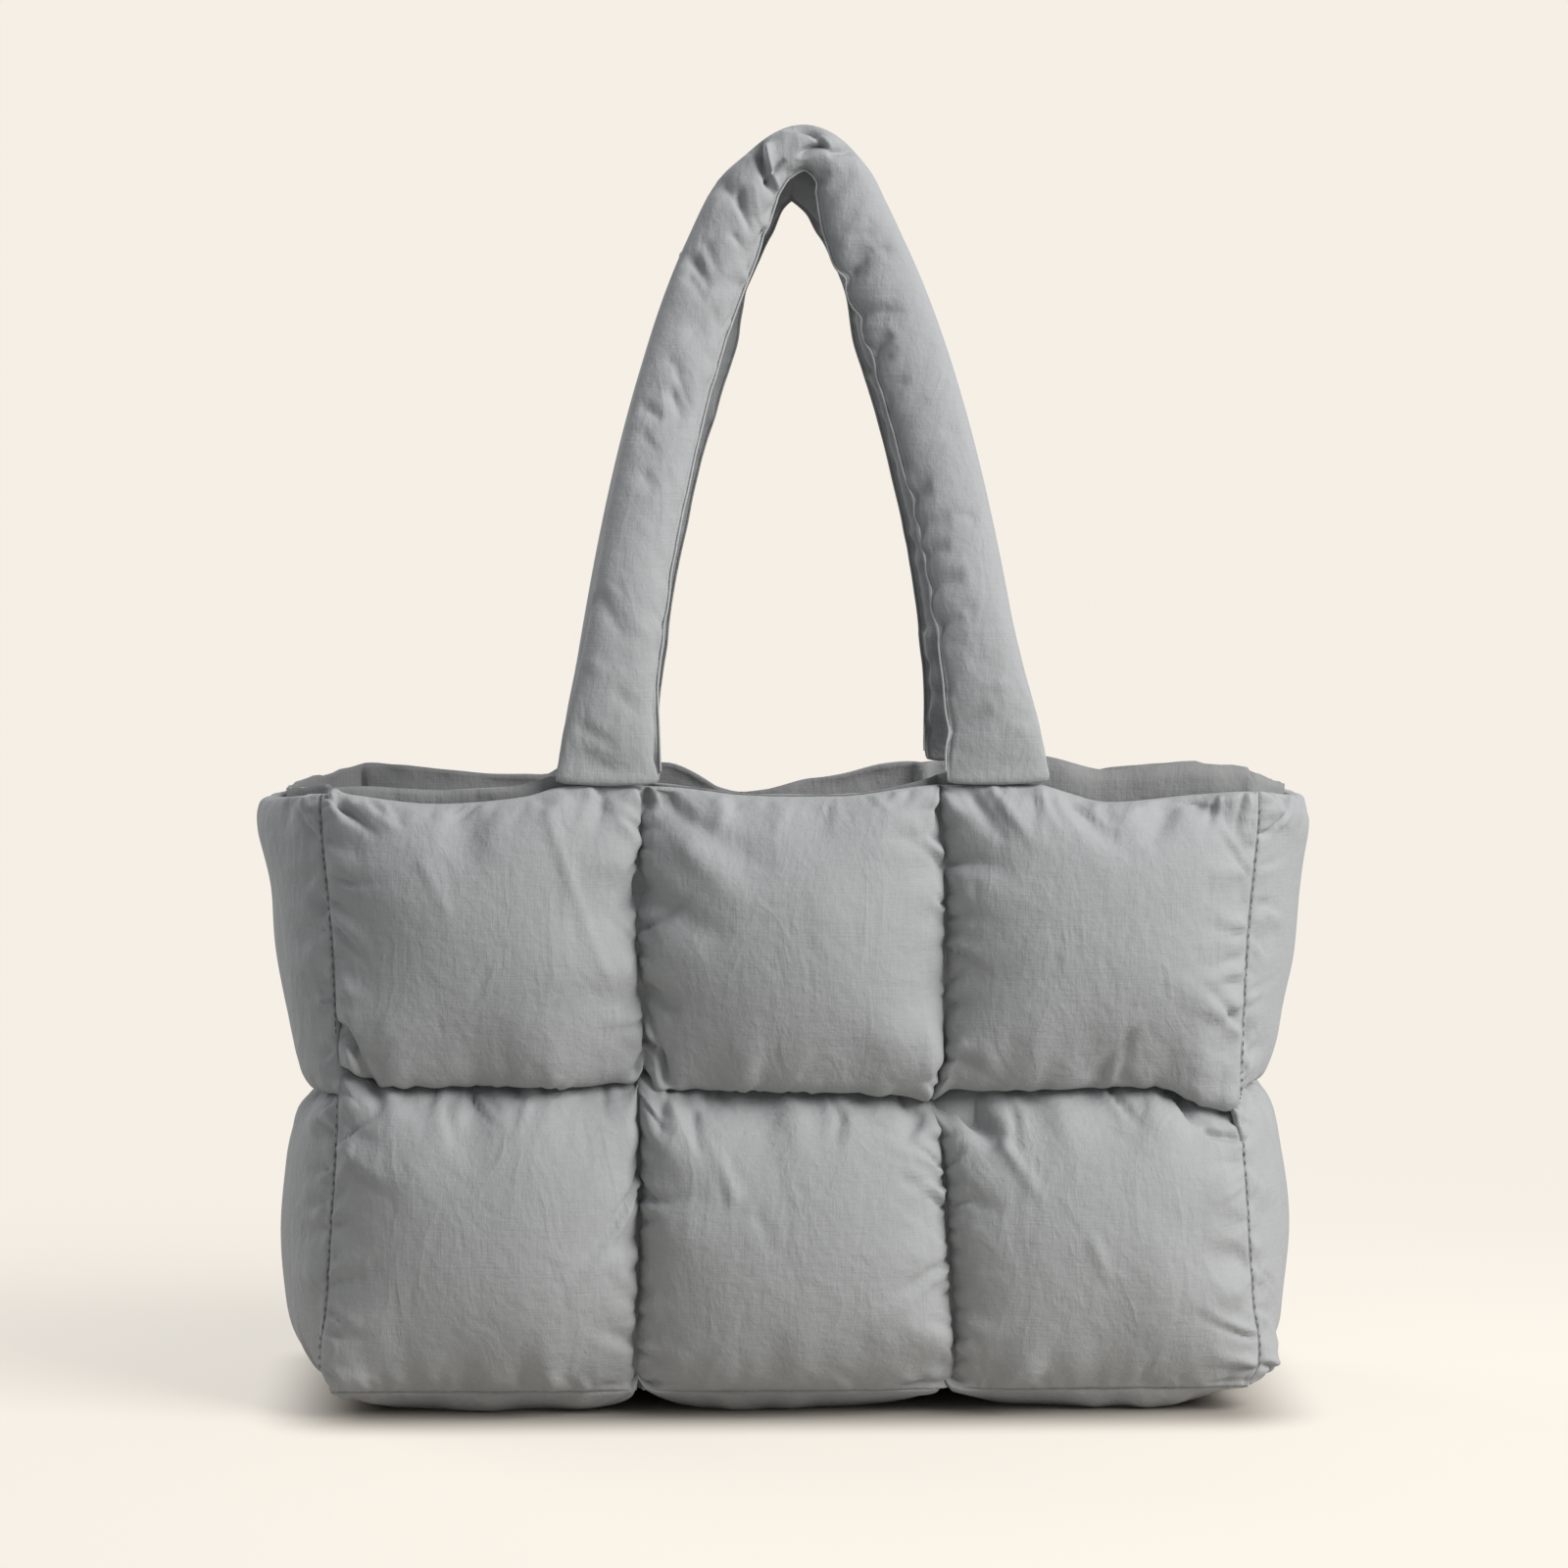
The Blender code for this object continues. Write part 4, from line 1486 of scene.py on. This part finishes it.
class ShaderGraph:
    """A material's nodes."""

    def __init__(self, name: str) -> None:
        """Makes an empty material with that name."""
        self.material = bpy.data.materials.new(name)
        self.material.use_nodes = True
        self.tree = self.material.node_tree
        self.tree.nodes.clear()

    def node(self, kind: str, settings: dict, inputs: dict, output: object = 0) -> Socket:
        """Adds a node.

        Args:
            kind: The node's type.
            settings: Its properties, which are set first.
            inputs: A value or a socket for each input, by name or number.
            output: The name or number of the output to return.

        Returns:
            That output.
        """
        made = self.tree.nodes.new(kind)
        for key, value in settings.items():
            setattr(made, key, value)
        for key, value in inputs.items():
            if isinstance(value, Socket):
                self.tree.links.new(value.link, made.inputs[key])
            else:
                made.inputs[key].default_value = value
        return Socket(self, made.outputs[output])

    def place(self) -> Socket:
        """Places in the piece's own frame, in metres."""
        return self.node("ShaderNodeTexCoord", {}, {}, "Object")

    def noise(
        self, place: Socket, scale: float, detail: float, rough: float = 0.5, warp: float = 0.0
    ) -> Socket:
        """Adds a Noise Texture node.

        Args:
            place: Where it is read.
            scale: About how many waves there are in a metre.
            detail: How many finer sizes are added.
            rough: How strong the finer sizes are.
            warp: How far the waves are bent.

        Returns:
            The noise, from 0 to 1.
        """
        inputs = {"Vector": place, "Scale": scale, "Detail": detail, "Roughness": rough, "Distortion": warp}
        return self.node("ShaderNodeTexNoise", {}, inputs, "Fac")

    def vector(self, operation: str, *values: object, output: str = "Vector") -> Socket:
        """Adds a Vector Math node."""
        return self.node("ShaderNodeVectorMath", {"operation": operation}, dict(enumerate(values)), output)

    def mix(self, share: object, first: object, second: object, blend_type: str = "MIX") -> Socket:
        """Adds a Mix node for two colours."""
        settings = {"data_type": "RGBA", "blend_type": blend_type}
        return self.node("ShaderNodeMix", settings, {0: share, 6: first, 7: second}, 2)

    def ramp(self, value: Socket, low: float, high: float) -> Socket:
        """Rises smoothly from 0 at low to 1 at high."""
        settings = {"interpolation_type": "SMOOTHSTEP"}
        return self.node("ShaderNodeMapRange", settings, {"Value": value, "From Min": low, "From Max": high})

    def bump(self, height: Socket, distance: float = 1.0) -> Socket:
        """Adds a Bump node for heights in metres, times the distance."""
        return self.node("ShaderNodeBump", {}, {"Height": height, "Distance": distance}, "Normal")

    def principled(self, normal: Socket, inputs: dict) -> bpy.types.Material:
        """Finishes the material with a Principled BSDF of that normal and those inputs."""
        return self.finish(self.node("ShaderNodeBsdfPrincipled", {}, {**inputs, "Normal": normal}, "BSDF"))

    def finish(self, shader: Socket) -> bpy.types.Material:
        """Joins a shader to the output and returns the material."""
        output = self.tree.nodes.new("ShaderNodeOutputMaterial")
        self.tree.links.new(shader.link, output.inputs["Surface"])
        return self.material


@dataclass(frozen=True)
class Relief:
    """One size of a cloth's creases: waves a metre, finer sizes, roughness, bending, and depth in metres."""

    scale: float
    detail: float
    rough: float
    warp: float
    depth: float


@dataclass(frozen=True)
class WovenCloth:
    """A matt, tightly woven cloth with a soft sheen, slightly crinkled."""

    name: str
    colour: tuple[float, float, float] = (0.312, 0.316, 0.316)
    shade: float = 0.93
    roughness: float = 0.85
    specular: float = 0.25
    sheen: float = 0.15
    sheen_roughness: float = 0.5
    thread: float = 0.0007
    slub: float = 0.012
    weave_depth: float = 0.00010
    weave_shade: float = 0.07
    mottle_scale: float = 60.0
    mottle_detail: float = 4.0
    mottle_roughness: float = 0.6
    crinkle: Relief = Relief(190.0, 3.0, 0.55, 0.0, 0.00055)
    crumple: Relief = Relief(55.0, 3.0, 0.5, 0.6, 0.0017)
    crumple_stretch: tuple[float, float, float] = (1.0, 1.0, 0.4)

    def material(self) -> bpy.types.Material:
        """The cloth's material."""
        graph = ShaderGraph(self.name)
        place = graph.place()
        mottle = graph.noise(place, self.mottle_scale, self.mottle_detail, self.mottle_roughness)
        dark = tuple(part * self.shade for part in self.colour)
        weave = self._threads(graph, place, (self.slub, self.slub, self.thread))
        weave += self._threads(graph, place, (self.thread, self.thread, self.slub))
        woven = weave * self.weave_shade + (1 - self.weave_shade)
        grey = graph.node("ShaderNodeCombineColor", {}, {0: woven, 1: woven, 2: woven})
        colour = graph.mix(1.0, graph.mix(mottle, (*dark, 1), (*self.colour, 1)), grey, "MULTIPLY")
        stretched = graph.vector("MULTIPLY", place, self.crumple_stretch)
        ridges = abs(self._noise(graph, stretched, self.crumple) - 0.5) * -self.crumple.depth
        crinkles = self._noise(graph, place, self.crinkle) * self.crinkle.depth
        return graph.principled(graph.bump(crinkles + ridges + weave * self.weave_depth), {
            "Base Color": colour, "Roughness": self.roughness, "Specular IOR Level": self.specular,
            "Sheen Weight": self.sheen, "Sheen Roughness": self.sheen_roughness,
        })

    def _noise(self, graph: ShaderGraph, place: Socket, relief: Relief) -> Socket:
        """The waves of one size of creases."""
        return graph.noise(place, relief.scale, relief.detail, relief.rough, relief.warp)

    def _threads(self, graph: ShaderGraph, place: Socket, size: tuple) -> Socket:
        """Uneven threads that run along the longest of three sizes, in metres."""
        return graph.noise(graph.vector("MULTIPLY", place, tuple(1 / part for part in size)), 1.0, 1.0)


@dataclass(frozen=True)
class Studio:
    """A plain pale floor that glows for the camera, with a painted contact shadow round the bag, soft light
    and the camera.
    """

    backdrop: tuple[float, float, float] = (0.913, 0.863, 0.791)
    dome_colour: tuple[float, float, float] = (0.86, 0.89, 0.93)
    floor_albedo: tuple[float, float, float] = (0.31, 0.285, 0.25)
    bounce_albedo: tuple[float, float, float] = (0.56, 0.53, 0.48)
    floor_glow: float = 0.64
    # This reach and the footprint below set where the floor's glow dies out round the bag: a painted contact
    # shadow under and beside it.
    painted_shadow_reach: float = 0.05
    fade_start: float = 0.22
    fade_end: float = 0.75
    painted_shadow_footprint: tuple[float, float] = (0.17, 0.06)
    floor_radius: float = 0.9
    floor_sides: int = 96
    camera_place: tuple[float, float, float] = (-0.0668, -2.0871, 0.3973)
    camera_yaw: float = 1.812
    camera_pitch: float = 4.071
    lens: float = 117.6
    sensor: float = 36.0
    key_direction: tuple[float, float, float] = (0.76, -0.52, 0.58)
    key_power: float = 88.0
    back_direction: tuple[float, float, float] = (-0.74, 0.60, 0.42)
    back_power: float = 24.0
    light_distance: float = 2.5
    light_height: float = 0.2
    light_size: float = 1.5
    dome_strength: float = 0.45

    def build(self) -> None:
        """Sets up the floor, the lights and the camera."""
        self._floor()
        self._dome()
        self._soft_light("key_light", self.key_direction, self.key_power)
        self._soft_light("back_light", self.back_direction, self.back_power)
        self._camera()
        scene = bpy.context.scene
        scene.view_settings.view_transform = "Standard"
        scene.view_settings.look = "None"

    def _floor(self) -> None:
        """A round floor that fades out towards its edge; the camera sees it glow, and the glow dies out over
        the bag's footprint as a painted contact shadow.
        """
        mesh = bmesh.new()
        bmesh.ops.create_circle(mesh, cap_ends=True, segments=self.floor_sides, radius=self.floor_radius)
        floor = new_piece("studio_floor", mesh)
        graph = ShaderGraph("studio_floor_paper")
        place = graph.place()
        fade = graph.ramp(graph.vector("LENGTH", place, output="Value"), self.fade_start, self.fade_end)
        # Painted contact shadow: the glow fades to black from a short reach outside the bag's footprint
        # inwards, darkening the floor under the bag.
        past = graph.vector("SUBTRACT", graph.vector("ABSOLUTE", place), (*self.painted_shadow_footprint, 0))
        beside = graph.vector("MAXIMUM", past, (0, 0, 0))
        outside_painted_shadow = graph.ramp(graph.vector("LENGTH", beside, output="Value"), 0.0, self.painted_shadow_reach)
        glow = graph.mix(outside_painted_shadow, (0, 0, 0, 1), (*self.backdrop, 1))
        seen = graph.node("ShaderNodeBsdfPrincipled", {}, {
            "Base Color": (*self.floor_albedo, 1), "Roughness": 1.0, "Specular IOR Level": 0.0,
            "Emission Color": glow, "Emission Strength": self.floor_glow,
        }, "BSDF")
        bounce = graph.node("ShaderNodeBsdfDiffuse", {}, {"Color": (*self.bounce_albedo, 1)})
        direct = graph.node("ShaderNodeLightPath", {}, {}, "Is Camera Ray")
        paper = graph.node("ShaderNodeMixShader", {}, {0: direct, 1: bounce, 2: seen})
        clear = graph.node("ShaderNodeBsdfTransparent", {}, {})
        faded = graph.node("ShaderNodeMixShader", {}, {0: fade, 1: paper, 2: clear})
        floor.data.materials.append(graph.finish(faded))

    def _dome(self) -> None:
        """Light from all round, with the backdrop's colour behind the bag."""
        world = bpy.data.worlds.new("studio_dome")
        bpy.context.scene.world = world
        world.use_nodes = True
        tree = world.node_tree
        tree.nodes.clear()
        seen = tree.nodes.new("ShaderNodeLightPath")
        light, backdrop = (tree.nodes.new("ShaderNodeBackground") for _ in range(2))
        light.inputs["Color"].default_value = (*self.dome_colour, 1)
        light.inputs["Strength"].default_value = self.dome_strength
        backdrop.inputs["Color"].default_value = (*self.backdrop, 1)
        choice = tree.nodes.new("ShaderNodeMixShader")
        output = tree.nodes.new("ShaderNodeOutputWorld")
        tree.links.new(seen.outputs["Is Camera Ray"], choice.inputs[0])
        tree.links.new(light.outputs["Background"], choice.inputs[1])
        tree.links.new(backdrop.outputs["Background"], choice.inputs[2])
        tree.links.new(choice.outputs["Shader"], output.inputs["Surface"])

    def _soft_light(self, name: str, toward: tuple, power: float) -> None:
        """A large soft light that faces the bag.

        Args:
            name: The light's name.
            toward: The direction from the bag to the light.
            power: Its power in watts.
        """
        light = bpy.data.lights.new(name, "AREA")
        light.shape = "SQUARE"
        light.size = self.light_size
        light.energy = power
        lamp = bpy.data.objects.new(name, light)
        direction = Vector(toward).normalized()
        lamp.location = direction * self.light_distance + Vector((0, 0, self.light_height))
        lamp.rotation_euler = direction.to_track_quat("Z", "Y").to_euler()
        bpy.context.scene.collection.objects.link(lamp)

    def _camera(self) -> None:
        """The camera, at the bag's front."""
        data = bpy.data.cameras.new("camera")
        data.lens = self.lens
        data.sensor_width = self.sensor
        camera = bpy.data.objects.new("camera", data)
        camera.location = self.camera_place
        tilt = math.radians(90 - self.camera_pitch)
        camera.rotation_euler = (tilt, 0, -math.radians(self.camera_yaw))
        bpy.context.scene.collection.objects.link(camera)
        bpy.context.scene.camera = camera


def make_panels() -> dict[Edge, QuiltedPanel]:
    """The five quilted panels by their edge."""
    face = {"columns": 3, "rows": 2, "growth_across": 1.10, "growth_up": 1.11}
    gusset = {"columns": 1, "rows": 2, "loft": 0.0055, "growth_across": 1.025, "growth_up": 1.04}
    panels = (
        QuiltedPanel(
            Edge.FRONT, **face, loft=0.018, seed=11, folds=FRONT_FOLDS, row_drift=FRONT_ROW_DRIFT,
            column_drifts=(LEFT_COLUMN_DRIFT, RIGHT_COLUMN_DRIFT),
        ),
        QuiltedPanel(Edge.BACK, **face, loft=0.016, seed=23),
        QuiltedPanel(Edge.LEFT, **gusset, seed=31),
        QuiltedPanel(Edge.RIGHT, **gusset, seed=37),
        QuiltedPanel(
            Edge.BASE, columns=3, rows=1, loft=0.014, growth_across=1.08, growth_up=1.08, seed=43,
            pleats=Pleats(0.014, 0.006, 0.020, 0.0018, 0.0007), wrinkling=0.5,
        ),
    )
    return {panel.edge: panel for panel in panels}


def make_handles() -> list[PaddedHandle]:
    """The front handle and the slimmer-topped back handle."""
    return [
        PaddedHandle(
            Edge.FRONT, creases=HANDLE_CREASES + CreaseScatter(7, 64).creases(), slimming=(0.0042, 0.0026),
            top_slimming=0.004, drawn_in=0.0042, top_skew=0.0036, arch_round=0.575,
        ),
        PaddedHandle(
            Edge.BACK, seed=60, creases=CreaseScatter(8, 80).creases(), slimming=(-0.0024, -0.0004),
            top_slimming=0.0052, top_range=(0.70, 0.82), top_skew=-0.001,
        ),
    ]


def finish_piece(piece: bpy.types.Object, material: bpy.types.Material) -> None:
    """Gives a piece its material and reports it."""
    piece.data.materials.append(material)
    LOG.info("%s: %d faces", piece.name, len(piece.data.polygons))


def main() -> None:
    """Builds the bag's visible pieces and the studio."""
    logging.basicConfig(level=logging.INFO, format="%(name)s: %(message)s")
    panels, handles, bench = make_panels(), make_handles(), ClothBench()
    for part in (*panels.values(), *handles):
        part.build_cloth(bench)
    LOG.info("cloth laid out: %d pieces", len(bench.laid))
    bench.run()
    cloth = WovenCloth("shell_cloth").material()
    for panel in panels.values():
        panel.close()
    for part in (*panels.values(), *handles):
        part.dress()
        finish_piece(part.piece, cloth)
    thread = Thread().material()
    for seam in BORDER_SEAMS:
        finish_piece(seam.sew(panels[Edge.FRONT]).piece, thread)
    # The welts are the shell's cloth, coloured lighter as a painted highlight along the handles' seams.
    welt_painted_highlight_cloth = WovenCloth("turned_edge_cloth", colour=(0.35, 0.35, 0.345)).material()
    for handle in handles:
        welt = SeamWelt(f"{handle.name}_welt")
        welt.build(*handle.seam_route())
        finish_piece(welt.piece, welt_painted_highlight_cloth)
    facing = RimFacing()
    facing.build(panels)
    facing.dress()
    # The facing is the shell's cloth, coloured darker as painted shade for the shadowed inside of the mouth.
    finish_piece(facing.piece, WovenCloth("facing_cloth", colour=(0.212, 0.214, 0.208)).material())
    Studio().build()


if __name__ == "__main__":
    main()
